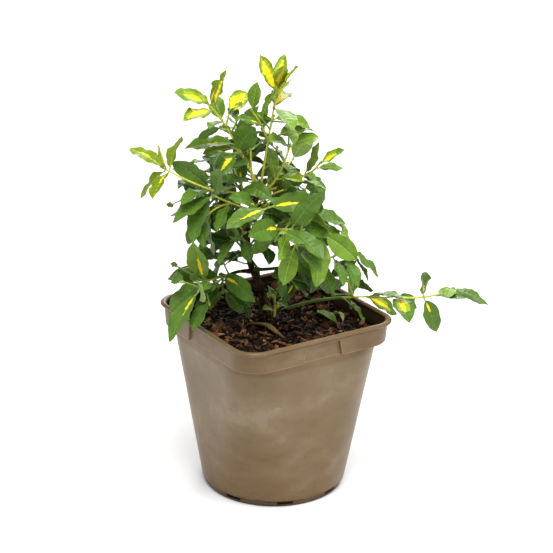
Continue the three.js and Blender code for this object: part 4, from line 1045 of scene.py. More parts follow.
# %% [markdown]
# Each leaf is tried against a cloud of points on every leaf, twig and limb that is there already.
# The order and the gaps are the source's, so the same leaves stand here as in the solids.

# %% Growing all the leaves
CLOUD_T, CLOUD_U = np.meshgrid(0.04 + 0.96 * np.arange(13) / 12, [-0.95, -0.65, -0.32, 0, 0.32, 0.65, 0.95],
                               indexing="ij")
PAST_BASE = 15


def leaf_cloud(leaf, line):
    """A point on the leaf's stalk, and 13 rows of seven on its blade."""
    stalk = leaf["root"] * 0.4 + leaf["base"] * 0.6
    return np.concatenate([[stalk], blade_points(leaf, line, CLOUD_T, CLOUD_U).reshape(-1, 3)])


def clear_of_pot(point):
    half = square_half(point[0], point[1])
    if half < RIM_HALF - 5:
        return point[2] > SOIL_MOUND + 6 and (half < RIM_HALF - 11 or point[2] > RIM_TOP + 3)
    return half > RIM_HALF + 4 or point[2] > RIM_TOP + 3


def closer_than(gap, points, others):
    away = points[:, None, :] - others[None, :, :]
    return bool(((away * away).sum(-1) < gap * gap).any())


def stands_clear(leaf, leaves):
    """Whether a leaf clears the pot, the leaves so far, and every twig and limb. PAST_BASE leaves out
    the stalk and the blade's first rows, which touch the twig that carries them."""
    blade = leaf["cloud"][PAST_BASE:]
    if not all(clear_of_pot(point) for point in leaf["cloud"]):
        return False
    for other in leaves:
        if np.linalg.norm(leaf["middle"] - other["middle"]) < NEAR:
            gap = MATE_GAP if other["mass"] == leaf["mass"] else LEAF_GAP
            if closer_than(gap, leaf["cloud"], other["cloud"]):
                return False
    for twig in twigs.values():
        own = twig["mass"] == leaf["mass"]
        if closer_than(OWN_GAP if own else TWIG_GAP, blade if own else leaf["cloud"], twig["points"]):
            return False
    return not any(closer_than(wood["radii"][0] + LIMB_GAP, leaf["cloud"], wood["points"])
                   for wood in limbs.values())


leaves = []
for twig in twigs.values():
    twig["nodes"] = []
    for pair, seed in enumerate(twig["seeds"]):
        draw = draws_from(seed)
        share = pair / (len(twig["seeds"]) - 1) if len(twig["seeds"]) > 1 else 1
        at = min(twig["first"] + (1 - twig["first"]) * (1 - (1 - share) ** 1.25), 0.99)
        twig["nodes"].append(at)
        for half in (0, 1):
            leaf = grow_leaf(twig, share, at, twig["turn"] + 90 * pair + 180 * half, draw)
            line = midrib(leaf, LEAF_STEPS)
            leaf.update(mass=twig["mass"], twig=twig["name"], number=2 * pair + half, middle=line[4],
                        cloud=leaf_cloud(leaf, line))
            if leaf["number"] not in twig.get("lost", ()) and stands_clear(leaf, leaves):
                leaves.append(leaf)
print("leaves:", len(leaves))

# %% [markdown]
# ## Finer twigs
# The solids stop at the twigs that make the plant's shape. A real shoot carries more: short side
# twigs with a pair of smaller leaves each, which close the crown from inside. They are grown by the
# same rule, from the twigs that are there. A leaf of theirs is kept only if it is clear of all
# others, stays within reach of the leaves of the solids, and leaves the openings that show sky. The
# openings are round spots, read from the front view: across, up, and how wide, in mm.

# %% Where the sky shows, as seen from the front
DISTANCE, PITCH = 1787, math.radians(21)
AIM = np.array([1.07, 0, 208])
EYE = AIM - DISTANCE * np.array([0, math.cos(PITCH), -math.sin(PITCH)])
SKY = [
    (-28, 405, 13), (-73, 404, 11), (-57, 405, 5), (-108, 372, 12), (-97, 355, 12), (-74, 354, 7),
    (-80, 327, 6), (-125, 300, 12), (-112, 262, 14), (-94, 255, 4), (-102, 234, 12), (-105, 212, 8),
    (14, 400, 6), (25, 377, 12), (11, 373, 4), (45, 368, 14), (44, 342, 6), (62, 350, 12), (64, 322, 8),
    (18, 326, 7), (28, 318, 5), (46, 307, 7), (26, 296, 4), (68, 298, 14), (60, 276, 8), (84, 272, 14),
    (80, 248, 12), (93, 228, 8), (100, 205, 12), (-14, 313, 5), (-44, 217, 4), (-61, 213, 4), (-4, 228, 6),
    (65, 204, 4),
]
SKY_AT, SKY_RADIUS = np.array(SKY, float)[:, :2], np.array(SKY, float)[:, 2]


def seen_at(points):
    """Where points are seen from the front: their x and z on the upright plane through the pot's axis."""
    share = EYE[1] / (EYE[1] - points[:, 1])
    return (EYE + (points - EYE) * share[:, None])[:, [0, 2]]


def against_sky(points):
    """Whether any of these points is seen in front of an opening."""
    away = np.linalg.norm(seen_at(points)[:, None, :] - SKY_AT[None], axis=2)
    return bool((away < SKY_RADIUS).any())


SHOWN_LIMBS = [limbs["trunk"]["points"], limbs["leader"]["points"][:5], limbs["leader"]["points"][-7:],
               limbs["runner_limb"]["points"], limbs["left_bough"]["points"]]
SHOWN_TWIGS = ("top", "tl", "right", "left", "uright", "basal", "lmid", "run", "run_mid")
SHOWN = np.concatenate(SHOWN_LIMBS + [twigs[name]["points"] for name in SHOWN_TWIGS])
SHOWN_AT = seen_at(SHOWN)
SHOWN_BESIDE, SHOWN_BEHIND = 3.5, 4


def hides_wood(points):
    """Whether any of these points is seen in front of wood that shows on the plant."""
    away = np.linalg.norm(seen_at(points)[:, None, :] - SHOWN_AT[None], axis=2)
    before = points[:, None, 1] < SHOWN[None, :, 1] + SHOWN_BEHIND
    return bool(((away < SHOWN_BESIDE) & before).any())


# %% Growing the finer twigs
SPRIG_TRIES, SPRIG_LEAF, REACH = 1500, (24, 36), 15
SPRIG_GAP, SPRIG_BODY_GAP, SPRIG_LIMB_GAP = 1.7, 2.0, 5.0
SPRIG_TWIG_GAP = SPRIG_GAP + 0.6
SPRIG_NODE = 0.9
REACH_POINTS = (45, 64, 70, 88)
BARE = ("top_tip", "tl_tip", "tl_in", "left_tip", "right_tip", "run_mid", "run_tip", "run_end", "basal")


def near_points(points, others, gap):
    """Those of the others that could be within the gap."""
    low, high = points.min(0) - gap, points.max(0) + gap
    return others[((others > low) & (others < high)).all(1)]


def touches(points, others, gap):
    """Whether any point comes closer to any of the others than the gap."""
    near = near_points(points, others, gap)
    return len(near) > 0 and closer_than(gap, points, near)


source_points = np.concatenate([leaf["cloud"] for leaf in leaves])
filled = {"leaves": source_points,
          "twigs": np.concatenate([twig["points"] for twig in twigs.values()]),
          "limbs": np.concatenate([limb["points"] for limb in limbs.values()])}
sprig_draws = np.random.default_rng(5)


def draw_sprig(carrier):
    """A short side twig drawn at random on a twig, with how large and how turned its leaves are."""
    at, turn = sprig_draws.uniform(0.05, 0.95), sprig_draws.uniform(0, 2 * math.pi)
    reach, forward = sprig_draws.uniform(6, 22), sprig_draws.uniform(0.1, 1.0)
    start, along = carrier["curve"].at(at), carrier["curve"].heading(at)
    side = unit(np.cross(along, [0.3, 0.5, 1.0]))
    way = unit(along * forward + side * math.cos(turn) + np.cross(along, side) * math.sin(turn))
    end = start + way * reach
    curve = Bend(start, (start + end) / 2 + UP * sprig_draws.uniform(-1.5, 1.0), end)
    size, lay = sprig_draws.uniform(), sprig_draws.uniform(0, 180)
    seed = int(sprig_draws.integers(1, 90000))
    return dict(name=carrier["name"], mass=carrier["mass"], curve=curve, leaf=SPRIG_LEAF, size=size,
                lay=lay, seed=seed, **HABITS["spray"])


def sprig_leaf_fits(cloud):
    """Whether a finer leaf hides no sky or shown wood, stays in the crown and touches nothing."""
    if against_sky(cloud) or hides_wood(cloud) or not all(clear_of_pot(point) for point in cloud[::6]):
        return False
    if any(not touches(cloud[i:i + 1], source_points, REACH) for i in REACH_POINTS):
        return False
    return not (touches(cloud, filled["leaves"], SPRIG_GAP)
                or touches(cloud[PAST_BASE:], filled["twigs"], SPRIG_TWIG_GAP)
                or touches(cloud, filled["limbs"], SPRIG_LIMB_GAP))


carriers = [twig for name, twig in twigs.items() if name not in BARE]
sprigs = []
for number in range(SPRIG_TRIES):
    sprig = draw_sprig(carriers[number % len(carriers)])
    body = sprig["curve"].at(np.linspace(0.35, 1, 6))
    if (touches(body, filled["leaves"], SPRIG_BODY_GAP) or touches(body, filled["limbs"], SPRIG_LIMB_GAP)
            or not clear_of_pot(sprig["curve"].end)):
        continue
    draw = draws_from(sprig["seed"])
    kept = []
    for half in (0, 1):
        leaf = grow_leaf(sprig, sprig["size"], SPRIG_NODE, sprig["lay"] + 180 * half, draw)
        cloud = leaf_cloud(leaf, midrib(leaf, LEAF_STEPS))
        if sprig_leaf_fits(cloud):
            leaf.update(mass=sprig["mass"], twig=sprig["name"], number=-1, inner=True)
            kept.append(leaf)
            filled["leaves"] = np.concatenate([filled["leaves"], cloud])
    if kept:
        leaves += kept
        sprigs.append(sprig)
        filled["twigs"] = np.concatenate([filled["twigs"], body])
print("finer twigs:", len(sprigs), "leaves now:", len(leaves))

# %% [markdown]
# ## What colour a leaf is
# A young leaf at a shoot's tip is bright yellow green, and an old one inside is deep bottle green.
# Many carry a flame of clear yellow that licks out from the midrib along the side veins. The flame
# has a place on the leaf, so it isn't a pattern: the mesh has an edge along it, and the faces inside
# take a yellow of their own. So do the midrib and the paler underside.

# %% Leaf finishes
LEAF_COLOURS = {
    "leaf_young": (0.148, 0.225, 0.003),
    "leaf_fresh": (0.128, 0.232, 0.016),
    "leaf_mid": (0.077, 0.157, 0.015),
    "leaf_deep": (0.029, 0.074, 0.008),
}
UNDER_COLOURS = {
    "under_young": (0.26, 0.34, 0.03),
    "under_fresh": (0.17, 0.25, 0.035),
    "under_mid": (0.100, 0.170, 0.028),
    "under_deep": (0.056, 0.108, 0.020),
}
leaf_finishes = [finish(name, tones(colour, 0.22), 0.36, patch=140, relief=0.14, grain=1500,
                        shine=0.16 if name == "leaf_young" else 0.23)
                 for name, colour in LEAF_COLOURS.items()]
leaf_finishes += [finish(name, tones(colour, 0.12), 0.6, patch=140, relief=0.15, grain=1200, shine=0.15)
                  for name, colour in UNDER_COLOURS.items()]
leaf_finishes += [
    finish("flame_yellow", tones((0.84, 0.65, 0.02), 0.06), 0.45, patch=160, relief=0.1, grain=1500,
           shine=0.15),
    finish("flame_under", tones((0.72, 0.54, 0.03), 0.08), 0.6, patch=160, shine=0.1),
    finish("flame_edge", tones((0.27, 0.35, 0.015), 0.12), 0.38, patch=160, relief=0.1, grain=1500),
    finish("rib_deep", tones((0.13, 0.225, 0.045), 0.10), 0.42, patch=160),
    finish("rib_fresh", tones((0.27, 0.38, 0.05), 0.10), 0.42, patch=160),
    finish("rib_young", tones((0.42, 0.47, 0.04), 0.10), 0.42, patch=160),
    finish("leaf_stalk", tones((0.25, 0.34, 0.045), 0.15), 0.45, patch=160),
    finish("margin_deep", tones((0.085, 0.155, 0.022), 0.15), 0.4, patch=160),
    finish("margin_fresh", tones((0.25, 0.36, 0.035), 0.15), 0.4, patch=160),
]
UNDER, FLAME, FLAME_UNDER, FLAME_EDGE, RIB_DEEP, RIB_FRESH, RIB_YOUNG, STALK = 4, 8, 9, 10, 11, 12, 13, 14
MARGIN_DEEP, MARGIN_FRESH = 15, 16

# %% [markdown]
# How old each shoot's leaves look, from 0 for a tip's newest leaves to 3 for the oldest, and which
# leaves carry a large flame, was read from the plant. A flame is given as where it starts and
# ends along the leaf, and how far it reaches left and right. The leaf's own draws do the rest.

# %% Ages of the shoots and their flames
AGES = dict(top_tip=0, tl_tip=0.3, left_tip=0.2, tl_in=0.4, top=1.0, top_side=1.0, tl=1.2, tl_back=1.4,
            right=1.0, right_tip=0.9, uright=0.8, fright=1.5, fright_low=1.3, fleft=1.95, rmid=1.55,
            rmid_tip=1.5, left=1.8, left_in=1.8, lmid=1.9, lmid_low=1.8, llow=1.6, llow_rim=1.6,
            llow_in=2.2, lright=1.5, lright_tip=1.45, lright_in=2.3, run=2.0, run_mid=1.9, run_tip=1.6,
            run_end=1.5, run_base=1.8, basal=0.6, tl_low=2.4, intop=1.3, btop=1.4, mid=1.8, inr=1.9,
            inl=1.9, bright=1.8, inr_low=2.1)
OLD = 2.3
FLAMES = {
    ("top_tip", 2): (0.03, 0.95, 0.72, 0.35),
    ("top_tip", 5): (0.05, 0.85, 0.50, 0.65),
    ("top_tip", 4): (0.05, 0.80, 0.40, 0.50),
    ("top", 2): (0.02, 0.72, 0.35, 0.45),
    ("tl_tip", 2): (0.05, 0.75, 0.45, 0.25),
    ("tl_tip", 1): (0.05, 0.85, 0.25, 0.65),
    ("tl_tip", 0): (0.05, 0.70, 0.65, 0.30),
    ("tl_tip", 3): (0.05, 0.55, 0.30, 0.20),
    ("tl_in", 0): (0.02, 0.90, 0.85, 0.85),
    ("left_tip", 0): None,
    ("left_tip", 2): None,
    ("left_tip", 1): (0.03, 0.62, 0.22, 0.18),
    ("left_tip", 5): (0.30, 0.75, 0.12, 0.22),
    ("tl", 0): (0.20, 0.60, 0.25, 0.08),
    ("tl_low", 0): (0.08, 0.75, 0.15, 0.40),
    ("fleft", 3): (0.03, 0.75, 0.10, 0.26),
    ("fright", 0): (0.02, 0.42, 0.12, 0.30),
    ("fleft", 2): (0.02, 0.70, 0.38, 0.12),
    ("fleft", 0): (0.10, 0.40, 0.12, 0.10),
    ("llow", 3): (0.05, 0.65, 0.22, 0.14),
    ("llow", 1): (0.03, 0.45, 0.28, 0.12),
    ("llow_rim", 0): (0.02, 0.50, 0.28, 0.12),
    ("lmid_low", 0): (0.10, 0.75, 0.12, 0.09),
    ("right_tip", 2): (0.05, 0.80, 0.20, 0.12),
    ("run", 2): (0.04, 0.75, 0.22, 0.45),
    ("run_mid", 0): (0.05, 0.70, 0.40, 0.25),
}
PLAIN = ("fright", "fright_low", "rmid", "rmid_tip", "right", "uright", "left", "left_in", "lmid", "lcen",
         "lright", "fleft", "tl_low", "tl", "top", "llow")


def flame_of(leaf):
    """Start, end and half widths left and right of a leaf's yellow flame, or None."""
    if (leaf["twig"], leaf["number"]) in FLAMES:
        return FLAMES[leaf["twig"], leaf["number"]]
    if leaf["twig"] in PLAIN and not leaf.get("inner"):
        return None
    if leaf["mark"] > 0.8 and leaf["age"] > 1:
        reach = 0.25 + 0.35 * leaf["shade"]
        return 0.04, 0.04 + reach, 0.10 + 0.15 * leaf["shade"], 0.22 - 0.12 * leaf["shade"]
    if leaf["age"] < 0.7 and leaf["mark"] > 0.25:
        return 0.06, 0.75, 0.45 * leaf["mark"] + 0.15, 0.5 - 0.3 * leaf["shade"]
    return None


for leaf in leaves:
    inward = 0.6 if leaf.get("inner") else 0
    leaf["age"] = float(np.clip(AGES.get(leaf["twig"], OLD) + inward + 0.9 * (leaf["shade"] - 0.5), 0, 3))
    leaf["flame"] = flame_of(leaf)
print("leaves with a flame:", sum(1 for leaf in leaves if leaf["flame"]))

# %% [markdown]
# ## The shape of a leaf
# A leaf is one closed skin: rings of points that run out along its stalk, round the blade's upper
# and lower face, and close at its tip. Rows of the blade stand about a millimetre apart. Every
# second row reaches out a little, which makes the fine teeth of the margin. Side veins sink into
# the upper face and the blade swells between them, and the midrib stands out as a ridge below.

# %% Rings of one leaf
BLADE_ROWS, STALK_RINGS, RING, TOP = 38, 4, 24, 13
RIB_HALF, MARGIN = 0.48, 0.945
LEAST_FLAME, NO_FLAME_EDGE = 0.08, 0.3
VEINS = 7.5
BLADE_START, HALF_THICK, TOOTH, NICK = 0.012, 0.24, 0.022, 0.012
GROOVE_DEEP, GROOVE_WIDE, RIDGE_HIGH, RIDGE_WIDE = 0.22, 0.06, 0.55, 0.09
STALK_RADII, STALK_SAG = (0.75, 0.55), 0.5


def full_profile(t):
    """The finished leaf's outline: fuller than the source's plain blade, and drawn out to a point."""
    return 2.26 * t ** 0.66 * (1 - t) ** 0.66 * np.sqrt(1 - np.exp(-7 * (1 - t)))


def across_places(leaf, t, edges):
    """The thirteen places across the upper face at one row: margin, flame edge, midrib and between."""
    half = max(leaf["width"] * float(full_profile(np.array(t))), 0.3)
    rib = min(RIB_HALF * (1 - 0.6 * t) / half, 0.5)
    places = []
    for edge in edges:
        flame = min(max(edge, rib + 0.06), 0.88)
        places.append([rib, (rib + flame) / 2, flame, mix(flame, 1, 0.5), MARGIN, 1.0])
    left, right = places
    return np.array([-x for x in reversed(left)] + [0.0] + right)


def flame_edges(leaf, t, tongues):
    """How far the flame reaches to either side of the midrib at one row, 0 where there is none."""
    if not leaf["flame"]:
        return 0.0, 0.0
    start, end, left, right = leaf["flame"]
    if not start < t < end:
        return 0.0, 0.0
    s = (t - start) / (end - start)
    swell = min(1, s / 0.25) ** 0.7 * (1 - s) ** 0.75 * 1.4
    place = t * VEINS + leaf["phase"]
    vein = int(place)
    lick = smooth(place - vein, 0, 0.85)
    reach = []
    for side, wide in enumerate((left, right)):
        tongue = mix(tongues[side][vein % 16], tongues[side][(vein + 1) % 16], lick)
        reach.append(wide * swell * mix(1, tongue * (0.8 + 0.4 * lick), min(1, 2.2 * wide)))
    return tuple(reach)


def vein_relief(t, u):
    """Side veins: shallow furrows that leave the midrib forward and bend towards the tip."""
    along = t - 0.17 * abs(u) ** 1.15 * (1 - 0.5 * t)
    wave = np.cos(along * 2 * math.pi * VEINS + (u > 0) * 1.4)
    return 0.34 * (1 - abs(u) ** 3) * np.sqrt(leaf_profile(t)) * (1 - wave) - 0.2


def flutter(leaf, t, u):
    """How the blade ripples, in mm: short waves at the margin, longer ones further in."""
    short = 0.014 * leaf["length"] * np.sin(27 * t + 3 * leaf["phase"] + 2 * (u > 0)) * u ** 4
    long = 0.02 * leaf["length"] * np.sin(13 * t + leaf["phase"]) * u * abs(u)
    return (short + long) * leaf_profile(t)


def stalk_ring(leaf, share):
    """One ring round the stalk, from the twig at share 0 to the blade at 1."""
    side = np.cross(unit(leaf["axis"]), leaf["face"])
    sag = leaf["face"] * STALK_SAG * math.sin(math.pi * share)
    centre = leaf["root"] * (1 - share) + leaf["base"] * share - sag
    turn = np.concatenate([np.linspace(math.pi, 0, TOP), np.linspace(0, -math.pi, RING - TOP + 2)[1:-1]])
    radius = mix(*STALK_RADII, share)
    return centre + np.outer(np.cos(turn), side) * radius + np.outer(np.sin(turn), leaf["face"]) * radius


def blade_ring(leaf, line, row, lit):
    """One ring round the blade: across its upper face and back across the lower. lit is how far the
    flame reaches to the left and right."""
    t = max(row / BLADE_ROWS, BLADE_START)
    u = across_places(leaf, t, [x if x > LEAST_FLAME else NO_FLAME_EDGE for x in lit])
    toothed, margin = row % 2 == 0, abs(u) > 0.99
    tooth = TOOTH if 0.12 < t < 0.95 and toothed else -NICK
    out = u * np.where(margin, 1 + tooth, 1)
    ts = np.full(TOP, t) + np.where(margin, 0.3 / BLADE_ROWS if toothed else 0, 0)
    thick = HALF_THICK * (1 - u ** 6)
    veins = vein_relief(ts, u) * ~margin
    ripple = flutter(leaf, ts, u)
    groove = GROOVE_DEEP * np.exp(-(u / GROOVE_WIDE) ** 2)
    ridge = RIDGE_HIGH * (1 - t) * np.exp(-(u / RIDGE_WIDE) ** 2)
    above = blade_points(leaf, line, ts, out, thick + veins + ripple - groove, full_profile)
    below = blade_points(leaf, line, ts, out, -thick + 0.7 * veins + ripple - ridge, full_profile)
    return np.concatenate([above, below[-2:0:-1]])


def leaf_rings(leaf):
    """All points of one leaf with its stalk, and how far its flame reaches at each ring."""
    tongues = np.random.default_rng(int(leaf["shade"] * 1e6)).uniform(0.65, 1.25, (2, 16))
    line = midrib(leaf, BLADE_ROWS)
    lit = [flame_edges(leaf, max(row / BLADE_ROWS, BLADE_START), tongues) for row in range(BLADE_ROWS)]
    rings = [stalk_ring(leaf, k / STALK_RINGS) for k in range(STALK_RINGS)]
    rings += [blade_ring(leaf, line, row, lit[row]) for row in range(BLADE_ROWS)]
    points = np.concatenate([*rings, [leaf["root"] - unit(leaf["axis"]) * 0.4], line[-1:]])
    return points, [(0, 0)] * STALK_RINGS + lit


# %% Faces and finishes of one leaf
def closed_rings(rings):
    """Faces between rings of points, closed at both ends by a point: the same for every leaf."""
    faces = between_rings(rings, RING)
    start, end, last = rings * RING, rings * RING + 1, (rings - 1) * RING
    faces += [((i + 1) % RING, i, start) for i in range(RING)]
    faces += [(last + i, last + (i + 1) % RING, end) for i in range(RING)]
    return faces


LEAF_FACES = closed_rings(STALK_RINGS + BLADE_ROWS)
WIDE_FLAME = 0.55


def face_finishes(leaf, edges):
    """A finish for each face: blade, flame, flame edge, midrib and stalk, above and below."""
    tint = int(round(min(leaf["age"], 3)))
    rib = (RIB_YOUNG, RIB_FRESH, RIB_DEEP, RIB_DEEP)[tint]
    rim = (MARGIN_FRESH, MARGIN_FRESH, MARGIN_DEEP, MARGIN_DEEP)[tint]
    halo = leaf["flame"] and leaf["flame"][2] + leaf["flame"][3] > WIDE_FLAME
    kinds = []
    for r in range(STALK_RINGS + BLADE_ROWS - 1):
        lit = [min(edges[r][side], edges[r + 1][side]) > LEAST_FLAME for side in (0, 1)]
        for i in range(RING):
            upper = i < TOP - 1
            column = i if upper else RING - 1 - i
            side, depth = (0, 5 - column) if column < 6 else (1, column - 6)
            if r < STALK_RINGS:
                kinds.append(STALK)
            elif depth == 0:
                kinds.append(FLAME if lit[side] and upper else rib)
            elif depth == 5:
                kinds.append(rim if upper else UNDER + tint)
            elif depth <= 2 and lit[side]:
                kinds.append(FLAME if upper else FLAME_UNDER)
            elif depth == 3 and lit[side] and halo and upper:
                kinds.append(FLAME_EDGE)
            else:
                kinds.append(tint if upper else UNDER + tint)
    kinds += [STALK] * RING + [tint] * RING
    return kinds


# %% [markdown]
# The leaves are joined into a few pieces, by the part of the plant that they grow on.

# %% The leaves, gathered by part of the crown
PARTS = {
    "top": ("top_shoot", "top_left_shoot", "upper_right_shoot", "inner_top_shoot"),
    "left": ("left_shoot", "left_mid_shoot", "left_centre_shoot", "inner_left_shoot"),
    "right": ("right_shoot", "right_mid_shoot", "front_right_shoot", "front_left_shoot",
              "inner_right_shoot", "middle_shoot"),
    "low": ("left_low_shoot", "lower_right_shoot", "basal_shoot", "runner_shoot", "low_centre_shoot"),
    "back": ("back_top_shoot", "back_right_shoot", "back_left_shoot", "back_low_shoot", "inner_low_shoot",
             "back_low_left_shoot", "back_low_right_shoot"),
}
MOST_LEAVES = 90
for part, masses in PARTS.items():
    mine = [leaf for leaf in leaves if leaf["mass"] in masses]
    for first in range(0, len(mine), MOST_LEAVES):
        heap = Heap()
        for leaf in mine[first:first + MOST_LEAVES]:
            points, edges = leaf_rings(leaf)
            heap.add(points, LEAF_FACES, face_finishes(leaf, edges))
        heap.piece(f"leaves_{part}_{first // MOST_LEAVES + 1}", leaf_finishes, slot="foliage",
                   stands_for=masses)

# %% [markdown]
# ## Twigs
# A twig is green and smooth, and swells a little at each node where a pair of leaves stands. It is
# one rod with a bulge at the nodes. Where a limb carries it, it is led on from inside that limb, and
# the last twig of a shoot ends in a small folded bud.

# %% Twigs with their nodes and end buds
twig_green = finish("twig_green", tones((0.17, 0.27, 0.05), 0.2), 0.5, patch=150)
twig_yellow = finish("twig_yellow", tones((0.52, 0.52, 0.06), 0.18), 0.5, patch=150, shine=0.2)
bud_green = finish("bud_green", tones((0.24, 0.36, 0.07), 0.15), 0.5, patch=300)
TWIG_STEPS, NODE_SWELL, NODE_LENGTH = 28, 0.3, 1.6
TWIG_ROOT, TWIG_ROOT_AT_MOST = np.array([[0.15], [0.6]]), 0.985


def twig_line(twig):
    """The twig's bend, led on from inside the limb that carries it."""
    line = twig["curve"].at(np.linspace(0, 1, TWIG_STEPS))
    if twig.get("on") in limbs:
        carrier = limbs[twig["on"]]["curve"].at(min(twig["at"], TWIG_ROOT_AT_MOST))
        return np.concatenate([carrier + (line[0] - carrier) * TWIG_ROOT, line])
    return line


def twig_rod(twig):
    """A twig that tapers, is a little thinner on another twig, and swells at each pair of leaves."""
    line = twig_line(twig)
    lead = len(line) - TWIG_STEPS
    t = np.clip((np.arange(len(line)) - lead) / (TWIG_STEPS - 1), 0, 1)
    length = np.linalg.norm(twig["curve"].end - twig["curve"].start)
    radii = mix(TWIG_RADII[0], TWIG_RADII[1] * 0.85, t) * (0.92 if twig.get("on") in limbs else 0.85)
    for at in twig["nodes"]:
        radii = radii * (1 + NODE_SWELL * np.exp(-((t - at) * length / NODE_LENGTH) ** 2))
    return rod(line, radii, 10)


def end_bud(twig):
    """The small folded bud at a twig's end: a short pointed spindle."""
    tip, way = twig["curve"].at(1), twig["curve"].heading(1)
    line = tip + np.outer([-0.5, 1.0, 2.6, 4.2], way)
    return rod(line, [0.9, 1.25, 0.95, 0.12], 8)


GREEN_TWIG, YELLOW_TWIG, BUD = 0, 1, 2
wood = Heap()
for twig in twigs.values():
    yellow = AGES.get(twig["name"], OLD) < 2 or twig["mass"] == "runner_shoot"
    wood.add(*twig_rod(twig), YELLOW_TWIG if yellow else GREEN_TWIG)
    if not any(other.get("on") == twig["name"] and other["at"] == 1 for other in twigs.values()):
        wood.add(*end_bud(twig), BUD)
for sprig in sprigs:
    line = sprig["curve"].at(np.linspace(0, 1, 10))
    wood.add(*rod(line, np.linspace(0.95, 0.7, 10), 8), GREEN_TWIG)
    wood.add(*end_bud(sprig), BUD)
wood.piece("twigs", [twig_green, twig_yellow, bud_green], slot="foliage",
           stands_for=[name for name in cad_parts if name.endswith("_shoot")])

# %% [markdown]
# ## Flower buds
# Small round green flower buds stand in loose clusters on thin forked stalks. Each cluster is a
# stalk from its twig and a ring of short branchlets that carry a bud each.

# %% Clusters of flower buds
BUD_CLUSTERS = [
    dict(on="llow", at=1, to=(-93.5, -30, 229.7)),
    dict(on="llow", at=0.3, to=(-49.6, -20, 216.6)),
    dict(on="lcen", at=0.9, to=(-56, -22, 235)),
    dict(on="left", at=1, to=(-97, -25, 286)),
    dict(on="lright_tip", at=0.9, to=(71.8, -20, 230.9)),
    dict(on="lright", at=0.2, to=(22.7, -30, 224.2)),
    dict(on="run", at=0.1, to=(72.9, 0, 178.5)),
]
BUDS, BRANCHLET, CLUSTER_RISE, STALK_ARCH = 11, 2.3, 1.5, 0.75
flower_bud = finish("flower_bud", tones((0.085, 0.135, 0.02), 0.3), 0.6, patch=500, relief=0.2,
                    grain=1500)
buds = Heap()
for row in BUD_CLUSTERS:
    start, end = twigs[row["on"]]["curve"].at(row["at"]), np.array(row["to"], float)
    line = Bend(start, (start + end) / 2 + UP * STALK_ARCH, end).at(np.linspace(0, 1, 16))
    buds.add(*rod(line, np.linspace(0.85, 0.65, 16), 6), 1)
    fork = mix(line[-2], end, 0.6)
    for bud in range(BUDS):
        a, ring = bud * SPIRAL, 0.0 if bud == 0 else (0.55 if bud < 5 else 1.0)
        rise = CLUSTER_RISE * (1 - ring) + draws.uniform(-1.3, 1.3)
        place = end + np.array([math.cos(a), math.sin(a), 0]) * BRANCHLET * ring + UP * rise
        knee = mix(fork, place, 0.55) - UP * 0.4 * ring
        buds.add(*rod([fork, knee, place], [0.4, 0.34, 0.3], 5), 1)
        buds.add(*ball(place, draws.uniform(0.95, 1.35), 7, 10), 0)
buds.piece("flower_buds", [flower_bud, twig_green], slot="foliage",
           stands_for=["left_low_shoot", "left_centre_shoot", "left_shoot", "lower_right_shoot",
                       "runner_shoot"])

# %% [markdown]
# ## Fallen leaves on the mulch
# One old leaf lies curled on the chips in front of the trunk, dry and ochre. Under the runner lie a
# greener one and a pale curled bit.

# %% The fallen leaves
FALLEN = {
    "fallen_leaf": dict(start=(-26.4, -4.1), end=(7.8, -32.4), half=4.0, bow=4.5,
                        colour=(0.26, 0.16, 0.055)),
    "green_fallen_leaf": dict(start=(43, 37), end=(59, 5), half=6.5, bow=-3, colour=(0.11, 0.20, 0.02)),
    "pale_curl": dict(start=(56, 30), end=(65, 10), half=2.2, bow=3, colour=(0.50, 0.53, 0.20)),
}
FALLEN_ROWS, FALLEN_COLS, FALLEN_THICK, ABOVE_CHIPS = 26, 6, 0.35, 2.1


def fallen_leaf(start, end, half, bow):
    """A curled strip, closed, narrow at both ends."""
    rows, cols, points = FALLEN_ROWS, FALLEN_COLS, []
    side = unit(np.array([start[1] - end[1], end[0] - start[0]]))
    for layer in (0.0, FALLEN_THICK):
        for r in range(rows + 1):
            t = r / rows
            swell = math.sin(math.pi * t)
            x, y = np.array(start) * (1 - t) + np.array(end) * t + side * bow * swell
            reach = 0.3 + half * math.sin(math.pi * min(1, t * 1.02)) ** 0.8
            bed = soil_level(x, y) + ABOVE_CHIPS + 1.8 * swell
            for c in range(cols + 1):
                u = 2 * c / cols - 1
                curl = 2.6 * abs(u) ** 1.7 * (1 - 0.4 * u) * swell ** 0.5
                points.append((x + side[0] * reach * u, y + side[1] * reach * u, bed + curl + layer))
    wide, sheet = cols + 1, (rows + 1) * (cols + 1)
    faces = []
    for r in range(rows):
        for c in range(cols):
            a = r * wide + c
            faces.append((a, a + wide, a + wide + 1, a + 1))
            faces.append((sheet + a, sheet + a + 1, sheet + a + wide + 1, sheet + a + wide))
    rim = [*range(wide)]
    rim += [r * wide + cols for r in range(1, rows + 1)]
    rim += [rows * wide + c for c in range(cols - 1, -1, -1)]
    rim += [r * wide for r in range(rows - 1, 0, -1)]
    for i, a in enumerate(rim):
        b = rim[(i + 1) % len(rim)]
        faces.append((a, b, sheet + b, sheet + a))
    return points, faces


for name, row in FALLEN.items():
    colour = finish(name, tones(row["colour"], 0.25), 0.65, patch=250, relief=0.3, grain=900, shine=0.12)
    shape = fallen_leaf(row["start"], row["end"], row["half"], row["bow"])
    add_piece(name, *shape, [colour], slot="soil", stands_for=["soil"])

# %% [markdown]
# ## Floor, light and camera
# The plant stands on a plain pale floor under soft studio light from above and the front left. The
# camera stands well back with a long lens, looks down a little, and leans by less than a degree.

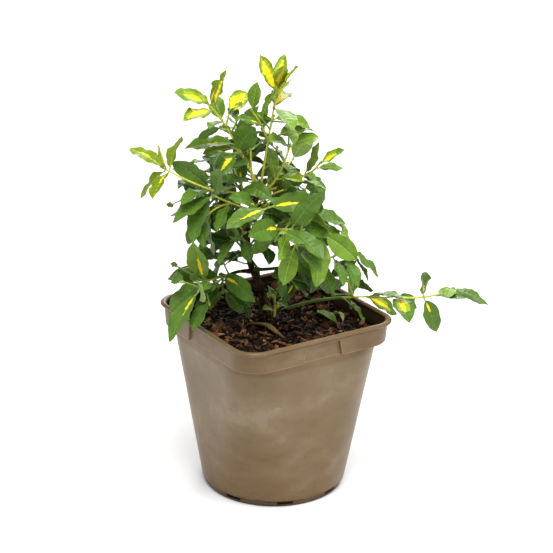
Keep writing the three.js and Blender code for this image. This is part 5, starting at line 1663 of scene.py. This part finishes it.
# %% The stage
white = finish("pale_floor", [(0.9, 0.9, 0.9), (0.92, 0.92, 0.92)], 0.9, patch=2)
floor_mesh = bpy.data.meshes.new("floor")
floor_mesh.from_pydata([(-8, -8, 0), (8, -8, 0), (8, 8, 0), (-8, 8, 0)], [], [(0, 1, 2, 3)])
floor_mesh.materials.append(white)
floor = bpy.data.objects.new("floor", floor_mesh)
bpy.context.scene.collection.objects.link(floor)


def soft_light(name, place, aim, size, watts):
    data = bpy.data.lights.new(name, "AREA")
    data.shape, data.size, data.energy = "DISK", size, watts
    lamp = bpy.data.objects.new(name, data)
    lamp.location = place
    lamp.rotation_euler = (Vector(aim) - Vector(place)).to_track_quat("-Z", "Y").to_euler()
    bpy.context.scene.collection.objects.link(lamp)


soft_light("overhead", (0.1, -0.5, 1.7), (0, 0, 0.2), 1.2, 35)
soft_light("front_left", (-1.3, -1.4, 0.9), (0, 0, 0.2), 1.0, 3.5)
soft_light("right_fill", (1.5, -0.9, 0.8), (0, 0, 0.2), 1.0, 7.5)
soft_light("behind", (0.6, 1.6, 1.3), (0, 0, 0.2), 1.2, 12)
soft_light("backdrop", (0, 3.0, 1.6), (0, 2.4, 0), 2.0, 45)
world = bpy.data.worlds.new("studio")
bpy.context.scene.world = world
world.use_nodes = True
world.node_tree.nodes["Background"].inputs["Color"].default_value = (1, 1, 1, 1)
world.node_tree.nodes["Background"].inputs["Strength"].default_value = 0.55

# %% The camera
IMAGE_WIDTH, FOCAL_PIXELS, ROLL = 553, 1900, math.radians(0.65)
camera_data = bpy.data.cameras.new("camera")
camera_data.sensor_width = 36
camera_data.lens = 36 * FOCAL_PIXELS / IMAGE_WIDTH
camera = bpy.data.objects.new("camera", camera_data)
camera.location = EYE * MM
level_turn = Vector(AIM - EYE).to_track_quat("-Z", "Y").to_matrix().to_4x4()
camera.rotation_euler = (level_turn @ Matrix.Rotation(ROLL, 4, "Z")).to_euler()
bpy.context.scene.collection.objects.link(camera)
bpy.context.scene.camera = camera
bpy.context.scene.view_settings.view_transform = "Standard"
